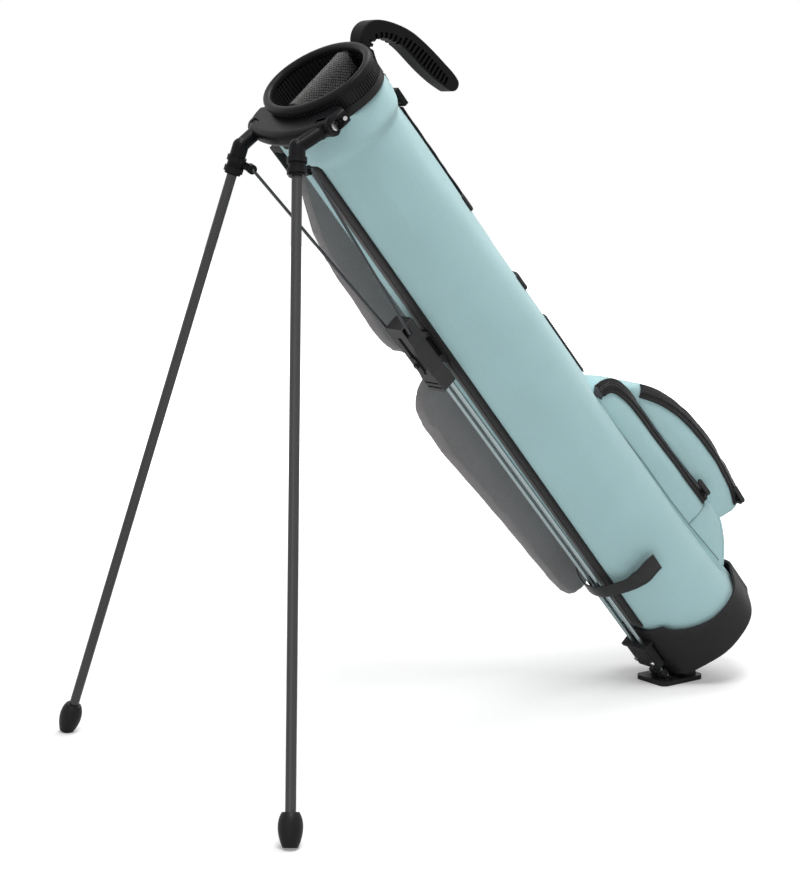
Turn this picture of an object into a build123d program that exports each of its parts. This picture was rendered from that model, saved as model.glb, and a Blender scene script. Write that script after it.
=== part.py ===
from build123d import *
import os
from math import atan2, cos, degrees, radians, sin

os.makedirs("parts", exist_ok=True)

# A compact golf stand bag, millimetres. Every piece is drawn in the bag's own upright frame:
# +Z up the tube from its bottom centre, +X to the back, -X to the legs, +Y to the far side.
# stand() then leans the whole bag toward the legs until the foot plate lies on the ground.

# ---- stance -------------------------------------------------------------------------------
LEAN = 41.3
BOTTOM_HEIGHT = 54.0
ORIGIN_SHIFT = 322.4
STAND = Location((ORIGIN_SHIFT, 0, BOTTOM_HEIGHT), (0, -LEAN, 0))
SIDES = {"near": -1, "far": 1}

# ---- fits ---------------------------------------------------------------------------------
RUN = 0.08
SEAT = 0.05

# ---- tube body ----------------------------------------------------------------------------
SKIN = 2.0
FRONT_FLAT = 16.0
FRONT_LOW, FRONT_HIGH = -66.0, -57.0
TUBE_LOW, TUBE_MID, TUBE_TOP = 8.0, 180.0, 742.0
BACK_LOW, BACK_MID, BACK_TOP = 57.0, 47.0, 43.5
HALF_LOW, HALF_MID, HALF_TOP = 60.0, 58.0, 57.0
SPINE_THICK = 3.0
SPINE_LOW, SPINE_TOP = 80.0, 730.0

# ---- base cup -----------------------------------------------------------------------------
CUP_WALL = 2.6
CUP_FLOOR = 5.0
CUP_FRONT_HEIGHT, CUP_BACK_HEIGHT = 76.0, 45.0
PAD_THICK = 3.0

# ---- top ring -----------------------------------------------------------------------------
RING_TOP = 787.0
LIP_RADIUS = 4.5
LIP_X, LIP_Y = 49.0, 69.0
LIP_WIDE = 8.6
CUFF_X, CUFF_Y = 46.4, 66.4
CUFF_WALL = 4.0
CUFF_LOW = 760.0
BAND_TOP = 767.5
BAND_GROW = 1.6
CUFF_RIBS = 104
TEETH = 72
COLLAR_LOW = 733.0
COLLAR_LID = 4.0
BAR_HALF = 8.0
BAR_LOW, BAR_TOP = 752.0, 782.0
SLEEVE = 1.6

# ---- legs ---------------------------------------------------------------------------------
PIVOT = Vector(-50, 54, 767)
SOCKET_END = Vector(-101, 54, 756)
LEG_OPEN = Vector(-0.7644, 0.256, -0.5904).normalized()
LEG_FOLDED = Vector(0, 0, -1)
WIRE_EYE = Vector(-86, 46, 749)
WIRE_FOOT = Vector(-85, 7.5, 541)
YOKE_TOP = 776.0
YOKE_ROUND = 6.5
LEG_DIAMETER = 9.4
LEG_BORE = 7.4
LEG_TO_GROUND = 583.6
SOCKET_RADIUS = 7.6
ELBOW_BACK = 27.0
ARM_RADIUS = 6.8
ARM_ROOM = 0.4
KNUCKLE_RADIUS = 8.0
KNUCKLE_WIDTH = 12.0
PIN_RADIUS = 3.0
LUG = 3.6
WIRE_RADIUS = 1.5
EYE_RADIUS = 4.6
EYE_WIDTH = 7.0
SHOE_RADIUS = 10.6
SHOE_HEIGHT = 30.0

# ---- push mechanism -----------------------------------------------------------------------
ROD_X, ROD_Y, ROD_RADIUS = -75.0, 7.0, 2.3
TRAVEL = 21.6
BRIDGE_LOW, BRIDGE_TOP = 464.0, 549.0
BRIDGE_BACK, BRIDGE_FRONT = -71.5, -89.0
RAIL_HALF = 3.0
RAIL_LOW, RAIL_TOP = 490.0, 512.0
HOOK_SLOT_LONG, HOOK_SLOT_WIDE = 10.2, 7.4
HOOK_SLOT_FORE, HOOK_SLOT_RISE = 0.5, 0.9
HINGE = Vector(-45, 0, -8)
LEVER = 30.7
LEVER_ANGLE = LEAN / 2
HINGE_HALF = 16.0
PLATE_THICK = 5.0

LEVEL = (cos(radians(LEAN)), 0, -sin(radians(LEAN)))
UPRIGHT = (sin(radians(LEAN)), 0, cos(radians(LEAN)))
HINGE_HEIGHT = BOTTOM_HEIGHT + HINGE.X * UPRIGHT[0] + HINGE.Z * UPRIGHT[2]
FOOT = Plane(origin=HINGE, x_dir=LEVEL, z_dir=UPRIGHT)
GROUND = FOOT.offset(-HINGE_HEIGHT)


def stand(piece):
    """The piece leaned with the bag and set at its height above the ground."""
    return piece.moved(STAND)


def save(builder, name):
    """One file per separate piece, labelled with its name."""
    piece = stand(builder.part)
    piece.label = name
    export_step(piece, f"parts/{name}.step")


def front_at(z):
    """Where the tube's flat front lies at a height; it tapers evenly to the top."""
    return FRONT_LOW + (FRONT_HIGH - FRONT_LOW) * (z - TUBE_LOW) / (TUBE_TOP - TUBE_LOW)


def between(z, low, mid, top):
    """A size that changes evenly from the bottom to the middle and on to the top."""
    if z < TUBE_MID:
        return low + (mid - low) * (z - TUBE_LOW) / (TUBE_MID - TUBE_LOW)
    return mid + (top - mid) * (z - TUBE_MID) / (TUBE_TOP - TUBE_MID)


def back_at(z):
    return between(z, BACK_LOW, BACK_MID, BACK_TOP)


def half_at(z):
    return between(z, HALF_LOW, HALF_MID, HALF_TOP)


def egg(front, back, half, flat=FRONT_FLAT):
    """Section of the bag: round at the back, narrowing to a flat strip at the front."""
    with BuildSketch() as section:
        with BuildLine():
            side = Spline(
                (front, flat),
                (front * 0.7, half * 0.72),
                (front * 0.36, half * 0.945),
                (0, half),
                (back * 0.5, half * 0.866),
                (back * 0.866, half * 0.5),
                (back, 0),
                tangents=[(0.2, 1), (0, -1)],
            )
            mirror(side, about=Plane.XZ)
            Line((front, flat), (front, -flat))
        make_face()
    return section.sketch


def tube_section(z, inset=0.0):
    flat = FRONT_FLAT - inset * 0.6
    return egg(front_at(z) + inset, back_at(z) - inset, half_at(z) - inset, flat)


def cup_section(inset=0.0):
    """Outline of the base cup, narrowing evenly with inset."""
    return egg(-69.5 + inset, 64 - inset, 64.5 - inset, 20 - inset * 0.6)


def collar_section(grow=0.0):
    """Outline of the collar under the ring, widening evenly with grow."""
    return egg(-60 - grow, 47.5 + grow, 63 + grow, 18 + grow)


def along(start, end):
    """A plane at start whose normal points to end."""
    return Plane(origin=start, z_dir=(end - start).normalized())


def rod_between(start, end, radius, mode=Mode.ADD):
    with Locations(along((start + end) / 2, end)):
        Cylinder(radius, (end - start).length, mode=mode)


def sided(vector, side):
    return Vector(vector.X, vector.Y * side, vector.Z)


# ---- base cup -----------------------------------------------------------------------------
with BuildPart() as base_cup:
    with BuildSketch():
        add(cup_section())
    extrude(amount=CUP_FRONT_HEIGHT)
    fillet(base_cup.faces().sort_by(Axis.Z)[0].edges(), 5)
    with BuildSketch(Plane.XY.offset(CUP_FLOOR)):
        add(cup_section(CUP_WALL))
    extrude(amount=CUP_FRONT_HEIGHT, mode=Mode.SUBTRACT)
    with BuildSketch(Plane.XZ):
        with BuildLine():
            Spline(
                (-58, CUP_FRONT_HEIGHT + 1),
                (-34, 55),
                (80, CUP_BACK_HEIGHT - 1),
                tangents=[(0.25, -1), (1, -0.05)],
            )
            Polyline((80, CUP_BACK_HEIGHT - 1), (80, 90), (-58, 90), (-58, CUP_FRONT_HEIGHT + 1))
        make_face()
    extrude(amount=90, both=True, mode=Mode.SUBTRACT)
    for y in (-HINGE_HALF - 3.5, HINGE_HALF + 3.5):
        with BuildSketch(Plane.XZ.offset(-y)):
            with Locations((HINGE.X, HINGE.Z)):
                Circle(6)
            with Locations((HINGE.X, HINGE.Z + 5)):
                Rectangle(12, 10)
        extrude(amount=2.6, both=True)
    with Locations((HINGE.X, 0, HINGE.Z)):
        Cylinder(PIN_RADIUS, 80, rotation=(90, 0, 0), mode=Mode.SUBTRACT)
save(base_cup, "base_cup")

with BuildPart() as floor_pad:
    with BuildSketch(Plane.XY.offset(CUP_FLOOR)):
        add(egg(-62, 54, 56, 14))
    extrude(amount=PAD_THICK)
save(floor_pad, "floor_pad")

# ---- tube body ----------------------------------------------------------------------------
# Two side panels, joined behind the front strips and along the back.
with BuildPart() as tube:
    for z in (TUBE_LOW, TUBE_MID, TUBE_TOP):
        with BuildSketch(Plane.XY.offset(z)):
            add(tube_section(z))
    loft(ruled=True)
    with BuildPart(mode=Mode.SUBTRACT):
        for z in (TUBE_LOW, TUBE_MID, TUBE_TOP):
            with BuildSketch(Plane.XY.offset(z)):
                add(tube_section(z, SKIN))
        loft(ruled=True)
for name, kept in {"near": Keep.TOP, "far": Keep.BOTTOM}.items():
    with BuildPart() as side_panel:
        add(tube.part)
        split(bisect_by=Plane.XZ, keep=kept)
    save(side_panel, f"side_panel_{name}")

FRONT_STRIPS = {"front_band": (-15.5, -3.0), "front_webbing": (-3.0, 4.0), "front_strip": (4.0, 15.5)}
for name, (low, high) in FRONT_STRIPS.items():
    with BuildPart() as strip:
        with BuildSketch(Plane.XZ.offset(-high)):
            with BuildLine():
                Polyline(
                    (front_at(SPINE_LOW), SPINE_LOW),
                    (front_at(SPINE_TOP), SPINE_TOP),
                    (front_at(SPINE_TOP) - SPINE_THICK, SPINE_TOP),
                    (front_at(SPINE_LOW) - SPINE_THICK, SPINE_LOW),
                    close=True,
                )
            make_face()
        extrude(amount=high - low)
    save(strip, name)

with BuildPart() as side_stays:
    for side in (-1, 1):
        low = Vector(0, side * (HALF_LOW - SKIN - 4.2), TUBE_LOW + 0.1)
        top = Vector(0, side * (HALF_TOP - SKIN - 3.3), CUFF_LOW - COLLAR_LID - 0.1)
        rod_between(low, top, 2.5)
save(side_stays, "side_stays")

with BuildPart() as divider_sheet:
    with BuildSketch(Plane.XZ):
        with BuildLine():
            Polyline(
                (front_at(TUBE_LOW) + SKIN + 0.3, TUBE_LOW),
                (front_at(TUBE_TOP) + SKIN + 0.3, TUBE_TOP),
                (-38, TUBE_TOP + 4),
                (-38, BAR_LOW),
                (38, BAR_LOW),
                (38, TUBE_TOP + 4),
                (BACK_TOP - SKIN - 0.5, TUBE_TOP),
                (BACK_MID - SKIN - 0.5, TUBE_MID),
                (BACK_LOW - SKIN - 3.5, TUBE_LOW),
                close=True,
            )
        make_face()
    extrude(amount=0.8, both=True)
save(divider_sheet, "divider_sheet")

# ---- top ring -----------------------------------------------------------------------------
with BuildPart() as collar:
    with BuildSketch(Plane.XY.offset(COLLAR_LOW)):
        add(collar_section())
    extrude(amount=CUFF_LOW - COLLAR_LOW)
    with BuildSketch(Plane.XY.offset(COLLAR_LOW)):
        add(
            egg(
                front_at(COLLAR_LOW) - SEAT,
                back_at(COLLAR_LOW) + SEAT,
                half_at(COLLAR_LOW) + SEAT,
                FRONT_FLAT + SEAT,
            )
        )
    extrude(amount=CUFF_LOW - COLLAR_LOW - COLLAR_LID, mode=Mode.SUBTRACT)
    with BuildSketch(Plane.XY.offset(CUFF_LOW - COLLAR_LID)):
        Ellipse(41.5, 61)
    extrude(amount=COLLAR_LID, mode=Mode.SUBTRACT)
    with BuildSketch(Plane.XY.offset(CUFF_LOW - COLLAR_LID)):
        for side in (-1, 1):
            with Locations((0, side * 52)):
                Rectangle(12, 18)
        Ellipse(41.5, 61, mode=Mode.INTERSECT)
        with Locations((0, 0)):
            Rectangle(60, 98, mode=Mode.SUBTRACT)
    extrude(amount=COLLAR_LID)
save(collar, "collar")


def toothed(half_x, half_y, count, height, skip=0.0):
    """Points round an oval with square teeth standing out by height."""
    points = []
    for step in range(count):
        for share, rise in ((0.0, 0), (0.0, 1), (0.5, 1), (0.5, 0)):
            turn = radians(360 * (step + share) / count)
            x, y = half_x * cos(turn), half_y * sin(turn)
            out = Vector(x / half_x**2, y / half_y**2).normalized() * height * rise
            if abs(y) < skip:
                out = Vector(0, 0)
            points.append((x + out.X, y + out.Y))
    return [point for point, last in zip(points, points[-1:] + points) if point != last]


with BuildPart() as ring_cuff:
    with BuildSketch(Plane.XY.offset(CUFF_LOW)):
        with BuildLine():
            Polyline(*toothed(CUFF_X, CUFF_Y, CUFF_RIBS, 1.0), close=True)
        make_face()
        with BuildLine():
            inner = (CUFF_X - CUFF_WALL, CUFF_Y - CUFF_WALL)
            Polyline(*toothed(*inner, TEETH, -1.2, 2 * BAR_HALF), close=True)
        make_face(mode=Mode.SUBTRACT)
    extrude(amount=RING_TOP - 2 * LIP_RADIUS + 1.0 - CUFF_LOW)
    with BuildSketch(Plane.XY.offset(CUFF_LOW)):
        Ellipse(CUFF_X + BAND_GROW, CUFF_Y + BAND_GROW)
        Ellipse(CUFF_X - CUFF_WALL / 2, CUFF_Y - CUFF_WALL / 2, mode=Mode.SUBTRACT)
    extrude(amount=BAND_TOP - CUFF_LOW)
save(ring_cuff, "ring_cuff")

with BuildPart() as ring_lip:
    with BuildSketch(Plane.XY.offset(RING_TOP - 2 * LIP_RADIUS + 1.0)):
        Ellipse(LIP_X, LIP_Y)
        Ellipse(LIP_X - LIP_WIDE, LIP_Y - LIP_WIDE, mode=Mode.SUBTRACT)
    extrude(amount=2 * LIP_RADIUS - 1.0)
    fillet(ring_lip.faces().sort_by(Axis.Z)[-1].edges(), LIP_WIDE / 2 - 0.3)
    fillet(ring_lip.faces().sort_by(Axis.Z)[0].edges(), 2.0)
save(ring_lip, "ring_lip")

BAR_STEPS = (
    (BAR_LOW, CUFF_LOW, 41.4, 60.9),
    (CUFF_LOW, RING_TOP - 2 * LIP_RADIUS + 1.0, CUFF_X - CUFF_WALL - SEAT, 62.3),
    (RING_TOP - 2 * LIP_RADIUS + 1.0, BAR_TOP, LIP_X - LIP_WIDE - 0.1, LIP_Y - LIP_WIDE - 0.1),
)
with BuildPart() as divider_bar:
    for low, high, reach_x, reach_y in BAR_STEPS:
        with BuildSketch(Plane.XY.offset(low)):
            Ellipse(reach_x, reach_y)
            Rectangle(100, 2 * BAR_HALF, mode=Mode.INTERSECT)
        extrude(amount=high - low)
    fillet(divider_bar.faces().sort_by(Axis.Z)[-1].edges().filter_by(Axis.X), 6)
    with Locations((0, 0, BAR_LOW)):
        Box(77, 1.8, 0.4, mode=Mode.SUBTRACT)
save(divider_bar, "divider_bar")

with BuildPart() as divider_sleeve:
    with BuildSketch(Plane.YZ):
        with Locations((0, BAR_TOP - 14)):
            RectangleRounded(2 * BAR_HALF + 2 * SLEEVE, 28 + 2 * SLEEVE, 7.6)
            RectangleRounded(2 * BAR_HALF + 2 * SEAT, 28 + 2 * SEAT, 6, mode=Mode.SUBTRACT)
    extrude(amount=36, both=True)
    with Locations((0, 0, BAR_TOP - 26)):
        Box(90, 40, 16, mode=Mode.SUBTRACT)
save(divider_sleeve, "divider_sleeve")

# ---- carrying handle ----------------------------------------------------------------------
# The grip is a flat hooked blade. Its ends stay thin, its middle swells to fill the hand, and
# ladder pockets in both of its sides keep the moulding light.
GRIP_WIDE = 19.0
GRIP_WEB = 8.0
GRIP_OUTER = (
    (51.5, 770),
    (55, 780),
    (63, 786.4),
    (75, 787),
    (84.5, 781),
    (93, 771.4),
    (100.2, 760.6),
    (105.9, 749.3),
    (110.4, 735),
    (114.4, 717),
    (117.6, 698),
    (119.2, 682),
)
GRIP_TIP = ((117.8, 676.6), (112.5, 673.8), (107.4, 675.6))
GRIP_INNER = (
    (104.5, 680.5),
    (99.5, 694),
    (96, 707),
    (93.4, 720),
    (91.4, 733),
    (88.4, 747),
    (82.5, 759.5),
    (74.5, 767.2),
    (66.8, 769.6),
    (61, 766),
    (57.6, 758),
)
SLOTS = 21
SLOT_PITCH_WIDE = 2.9
with BuildLine(Plane.XZ) as inner_line:
    Spline(*GRIP_INNER)
GRIP_EDGE = inner_line.wires()[0]

with BuildPart() as handle:
    with BuildSketch(Plane.XZ):
        with BuildLine():
            Spline(*GRIP_OUTER, *GRIP_TIP, *GRIP_INNER)
            Line(GRIP_INNER[-1], GRIP_OUTER[0])
        make_face()
    extrude(amount=GRIP_WIDE / 2, both=True)
    blade_rim = handle.faces().filter_by(Axis.Y).edges().filter_by(GeomType.BSPLINE)
    fillet(blade_rim, 1.5)
    for side in (-1, 1):
        with BuildSketch(Plane.XZ.offset(side * GRIP_WEB / 2)):
            for step in range(SLOTS):
                share = 0.06 + 0.86 * step / (SLOTS - 1)
                spot, way = GRIP_EDGE @ share, GRIP_EDGE % share
                deep = 6.5 + 5.5 * sin(radians(180 * min(1, share * 1.6)))
                rim = 1.4 if share < 0.6 else -1.0
                reach = rim + deep / 2
                middle = (spot.X - way.Z * -reach, spot.Z + way.X * -reach)
                with Locations(Location((*middle, 0), (0, 0, degrees(atan2(way.Z, way.X))))):
                    Rectangle(SLOT_PITCH_WIDE, deep)
        extrude(amount=side * 20, mode=Mode.SUBTRACT)
    with BuildSketch(Plane.XZ):
        with BuildLine():
            Polyline(
                (47.7, 734),
                (54.5, 734),
                (54.5, 746),
                (57.6, 758),
                (60.2, 765),
                (56, 776),
                (49.5, 772),
                (47.7, CUFF_LOW),
                close=True,
            )
        make_face()
    extrude(amount=GRIP_WIDE / 2, both=True)
    with BuildSketch(Plane.XZ):
        with BuildLine():
            Polyline(
                (47.7, 734),
                (54.5, 734),
                (54.5, 746),
                (52, 757),
                (47.7, 757),
                close=True,
            )
        make_face()
    extrude(amount=12, both=True)
    with BuildSketch(Plane.XY.offset(CUFF_LOW)):
        Ellipse(LIP_X + 0.2, LIP_Y + 0.2)
    extrude(amount=60, mode=Mode.SUBTRACT)
    with BuildSketch(Plane.XY.offset(COLLAR_LOW - 10)):
        add(collar_section(SEAT))
    extrude(amount=CUFF_LOW - COLLAR_LOW + 10, mode=Mode.SUBTRACT)
save(handle, "handle")

with BuildPart() as handle_screws:
    for y in (-7, 7):
        with Locations((55.5, y, 740)):
            Cylinder(2.8, 2.0, rotation=(0, 90, 0))
save(handle_screws, "handle_screws")

# ---- leg bracket --------------------------------------------------------------------------
def hinge_axis(side):
    """The skewed axis that carries a leg from folded to open, pointing to the leg's side."""
    return sided(LEG_FOLDED.cross(LEG_OPEN).normalized(), side)


def lug_planes(side):
    """Where the two lugs of a leg hinge stand, on either side of the leg's knuckle."""
    pivot, axis = sided(PIVOT, side), hinge_axis(side)
    for reach in (-1, 1):
        yield pivot + axis * reach * (KNUCKLE_WIDTH / 2 + 0.15 + LUG / 2), axis


def elbow_at(side):
    """Where a leg's arm turns down into its socket."""
    return sided(SOCKET_END, side) - sided(LEG_OPEN, side) * ELBOW_BACK


def arm_path(side):
    """The room beyond the lugs that a leg's arm sweeps through as the leg folds."""
    pivot, axis = sided(PIVOT, side), hinge_axis(side)
    reach = elbow_at(side) - pivot
    slip = reach.dot(axis)
    outward = reach - axis * slip
    slope = slip / outward.length
    half = (ARM_RADIUS + ARM_ROOM) * (1 + slope**2) ** 0.5
    near, far = KNUCKLE_RADIUS + 1.2, outward.length + 6
    fold = Axis(pivot, axis * -side)
    turn = LEG_OPEN.get_angle(LEG_FOLDED)
    with BuildPart() as path:
        with BuildSketch(Plane(origin=pivot, x_dir=outward, z_dir=outward.cross(axis))):
            with BuildLine():
                Polyline(
                    (near, near * slope - half),
                    (far, far * slope - half),
                    (far, far * slope + half),
                    (near, near * slope + half),
                    close=True,
                )
            make_face()
        revolve(axis=fold, revolution_arc=turn)
        folded = reach.rotate(fold, turn)
        for arm in (reach, folded):
            rod_between(pivot, pivot + arm * (1 + 6 / reach.length), ARM_RADIUS + ARM_ROOM)
        with Locations(Plane(origin=pivot, z_dir=axis)):
            Cylinder(near, 60, mode=Mode.SUBTRACT)
    return path.part


with BuildPart() as yoke:
    with BuildSketch(Plane.XY.offset(CUFF_LOW)):
        with BuildLine():
            Spline(
                (-33, 71),
                (-56, 61),
                (-67, 33),
                (-70.5, 0),
                (-67, -33),
                (-56, -61),
                (-33, -71),
            )
            Line((-33, 71), (-30, 58))
            Line((-33, -71), (-30, -58))
            Line((-30, 58), (-30, -58))
        make_face()
    extrude(amount=YOKE_TOP - CUFF_LOW)
    fillet(yoke.edges().filter_by(GeomType.BSPLINE), YOKE_ROUND)
    with BuildSketch(Plane.XY.offset(CUFF_LOW)):
        with Locations((-58, 0)):
            RectangleRounded(14, 22, 5)
    extrude(amount=-5)
    for side in (-1, 1):
        for spot, axis in lug_planes(side):
            with Locations(Plane(origin=spot, z_dir=axis)):
                Cylinder(KNUCKLE_RADIUS + 1.0, LUG)
    with BuildSketch(Plane.XY.offset(700)):
        Ellipse(CUFF_X + BAND_GROW + 0.3, CUFF_Y + BAND_GROW + 0.3)
    extrude(amount=120, mode=Mode.SUBTRACT)
    with BuildSketch(Plane.XY.offset(700)):
        add(collar_section(SEAT))
    extrude(amount=CUFF_LOW - 700, mode=Mode.SUBTRACT)
    for side in (-1, 1):
        pivot, axis = sided(PIVOT, side), hinge_axis(side)
        with Locations(Plane(origin=pivot, z_dir=axis)):
            Cylinder(KNUCKLE_RADIUS + 1.4, KNUCKLE_WIDTH + 0.3, mode=Mode.SUBTRACT)
            Cylinder(PIN_RADIUS, 60, mode=Mode.SUBTRACT)
            for reach in (-1, 1):
                with Locations((0, 0, reach * (KNUCKLE_WIDTH / 2 + 0.15 + LUG + 10))):
                    Cylinder(PIN_RADIUS + 2.4, 20, mode=Mode.SUBTRACT)
        add(arm_path(side), mode=Mode.SUBTRACT)
save(yoke, "leg_yoke")

YOKE_SCREWS = ((-37.0, 70.0, 68.0),)
with BuildPart() as yoke_screws:
    for side in (-1, 1):
        for x, y, turn in YOKE_SCREWS:
            with Locations(Location((x, side * y, 768), (0, 0, -side * turn))):
                Cylinder(2.0, 4.0, rotation=(0, 90, 0))
    add(yoke.part, mode=Mode.SUBTRACT)
    with BuildSketch(Plane.XY.offset(740)):
        Ellipse(CUFF_X + 14, CUFF_Y - 1)
    extrude(amount=42, mode=Mode.SUBTRACT)
save(yoke_screws, "yoke_screws")


# ---- legs ---------------------------------------------------------------------------------
for name, side in SIDES.items():
    pivot, axis = sided(PIVOT, side), hinge_axis(side)
    socket, way = sided(SOCKET_END, side), sided(LEG_OPEN, side)
    eye, wire_foot = sided(WIRE_EYE, side), sided(WIRE_FOOT, side)
    elbow = elbow_at(side)
    inward = axis * -side

    with BuildPart() as pin:
        with Locations(Plane(origin=pivot, z_dir=axis)):
            Cylinder(PIN_RADIUS - RUN, KNUCKLE_WIDTH + 2 * LUG + 2.5)
            for reach in (-1, 1):
                with Locations((0, 0, reach * (KNUCKLE_WIDTH / 2 + LUG + 1.0))):
                    Cylinder(PIN_RADIUS + 1.6, 1.5)
    save(pin, f"pivot_pin_{name}")

    with BuildPart() as arm:
        with Locations(Plane(origin=pivot, z_dir=axis)):
            Cylinder(KNUCKLE_RADIUS, KNUCKLE_WIDTH)
        rod_between(pivot, elbow, ARM_RADIUS)
        with Locations(elbow):
            Sphere(SOCKET_RADIUS)
        rod_between(elbow, socket, SOCKET_RADIUS)
        for reach in (2, 12):
            rod_between(socket - way * (reach + 5), socket - way * reach, SOCKET_RADIUS + 1.5)
        rod_between(socket - way * 12, eye, 3.6)
        with Locations(Plane(origin=eye, z_dir=axis)):
            Cylinder(EYE_RADIUS, EYE_WIDTH)
            Cylinder(WIRE_RADIUS + RUN, 40, mode=Mode.SUBTRACT)
        with Locations(Plane(origin=pivot, z_dir=axis)):
            Cylinder(PIN_RADIUS, 40, mode=Mode.SUBTRACT)
        rod_between(socket - way * 22, socket + way * 5, LEG_DIAMETER / 2, mode=Mode.SUBTRACT)
        for reach in (KNUCKLE_WIDTH / 2 + 10, -KNUCKLE_WIDTH / 2 - 10):
            with Locations(Plane(origin=pivot + axis * reach, z_dir=axis)):
                Cylinder(KNUCKLE_RADIUS + 1.4, 20, mode=Mode.SUBTRACT)
    save(arm, f"leg_arm_{name}")

    leg_end = socket + way * (LEG_TO_GROUND - 14)
    with BuildPart() as leg:
        rod_between(socket - way * 22, leg_end, LEG_DIAMETER / 2)
        rod_between(socket - way * 24, leg_end + way * 2, LEG_BORE / 2, mode=Mode.SUBTRACT)
    save(leg, f"leg_tube_{name}")

    with BuildPart() as shoe:
        shoe_top = socket + way * (LEG_TO_GROUND - SHOE_HEIGHT + 1)
        with BuildSketch(Plane(origin=shoe_top, z_dir=way)):
            Circle(7.4)
        with BuildSketch(Plane(origin=shoe_top + way * 9, z_dir=way)):
            Circle(SHOE_RADIUS)
        with BuildSketch(Plane(origin=shoe_top + way * 20, z_dir=way)):
            Circle(SHOE_RADIUS - 0.6)
        with BuildSketch(Plane(origin=shoe_top + way * SHOE_HEIGHT, z_dir=way)):
            Circle(6.6)
        loft()
        rod_between(shoe_top - way * 4, leg_end, LEG_DIAMETER / 2, mode=Mode.SUBTRACT)
        split(bisect_by=GROUND)
    save(shoe, f"leg_shoe_{name}")

    start = eye + inward * (EYE_WIDTH / 2 + 2.4)
    drop = wire_foot + Vector(0, side * 9.5, 0)
    with BuildPart() as wire:
        rod_between(eye - inward * (EYE_WIDTH / 2 + 2.0), start, WIRE_RADIUS)
        with Locations(start, drop):
            Sphere(WIRE_RADIUS)
        rod_between(start, drop, WIRE_RADIUS)
        rod_between(drop, wire_foot - Vector(0, side * 4.0, 0), WIRE_RADIUS)
    save(wire, f"push_wire_{name}")

# ---- bridge, rods and rail ----------------------------------------------------------------
BRIDGE_MID = (BRIDGE_LOW + BRIDGE_TOP) / 2
BRIDGE_X = (BRIDGE_BACK + BRIDGE_FRONT) / 2
with BuildPart() as bridge:
    with BuildSketch(Plane.YZ.offset(BRIDGE_FRONT)):
        with BuildLine():
            Polyline(
                (-13.5, BRIDGE_TOP),
                (13.5, BRIDGE_TOP),
                (13.5, BRIDGE_TOP - 22),
                (10, BRIDGE_TOP - 30),
                (10, BRIDGE_LOW + 24),
                (12.5, BRIDGE_LOW + 16),
                (12.5, BRIDGE_LOW),
                (-12.5, BRIDGE_LOW),
                (-12.5, BRIDGE_LOW + 16),
                (-10, BRIDGE_LOW + 24),
                (-10, BRIDGE_TOP - 30),
                (-13.5, BRIDGE_TOP - 22),
                close=True,
            )
        make_face()
    extrude(amount=BRIDGE_BACK - BRIDGE_FRONT)
    fillet(bridge.edges().filter_by(Axis.X), 2.4)
    with BuildSketch(Plane.YZ.offset(BRIDGE_FRONT)):
        with Locations((0, (RAIL_LOW - 3 + RAIL_TOP + TRAVEL + 3) / 2)):
            Rectangle(2 * (RAIL_HALF + 0.1), RAIL_TOP - RAIL_LOW + TRAVEL + 6)
    extrude(amount=40, both=True, mode=Mode.SUBTRACT)
    with BuildSketch(Plane.XZ):
        with Locations((WIRE_FOOT.X + HOOK_SLOT_FORE, WIRE_FOOT.Z + HOOK_SLOT_RISE)):
            Rectangle(HOOK_SLOT_WIDE, HOOK_SLOT_LONG)
    extrude(amount=30, both=True, mode=Mode.SUBTRACT)
    for z in (BRIDGE_LOW + 5, BRIDGE_LOW + 11):
        with Locations((BRIDGE_FRONT, 0, z)):
            Box(3, 22, 2.2, mode=Mode.SUBTRACT)
    for y in (-ROD_Y, ROD_Y):
        with Locations((ROD_X, y, BRIDGE_LOW + 7)):
            Cylinder(ROD_RADIUS, 14.0, mode=Mode.SUBTRACT)
save(bridge, "push_bridge")

ROD_END = HINGE + Vector(-LEVER * cos(radians(LEVER_ANGLE)), 0, LEVER * sin(radians(LEVER_ANGLE)))
with BuildPart() as push_rods:
    for y in (-ROD_Y, ROD_Y):
        rod_between(
            Vector(ROD_X, y, ROD_END.Z + 6), Vector(ROD_X, y, BRIDGE_LOW + 14), ROD_RADIUS
        )
save(push_rods, "push_rods")

with BuildPart() as rod_clevis:
    with Locations((ROD_X, 0, ROD_END.Z + 2.5)):
        Box(7, 2 * ROD_Y + 7, 15)
    with Locations((ROD_X, 0, ROD_END.Z - 1.5)):
        Box(10, 8.4, 14, mode=Mode.SUBTRACT)
    with BuildSketch(Plane.XZ):
        with Locations((ROD_X + 0.45, ROD_END.Z)):
            Rectangle(6.2, 3.6)
    extrude(amount=20, both=True, mode=Mode.SUBTRACT)
    for y in (-ROD_Y, ROD_Y):
        with Locations((ROD_X, y, ROD_END.Z + 8)):
            Cylinder(ROD_RADIUS, 4, mode=Mode.SUBTRACT)
save(rod_clevis, "rod_clevis")

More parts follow.
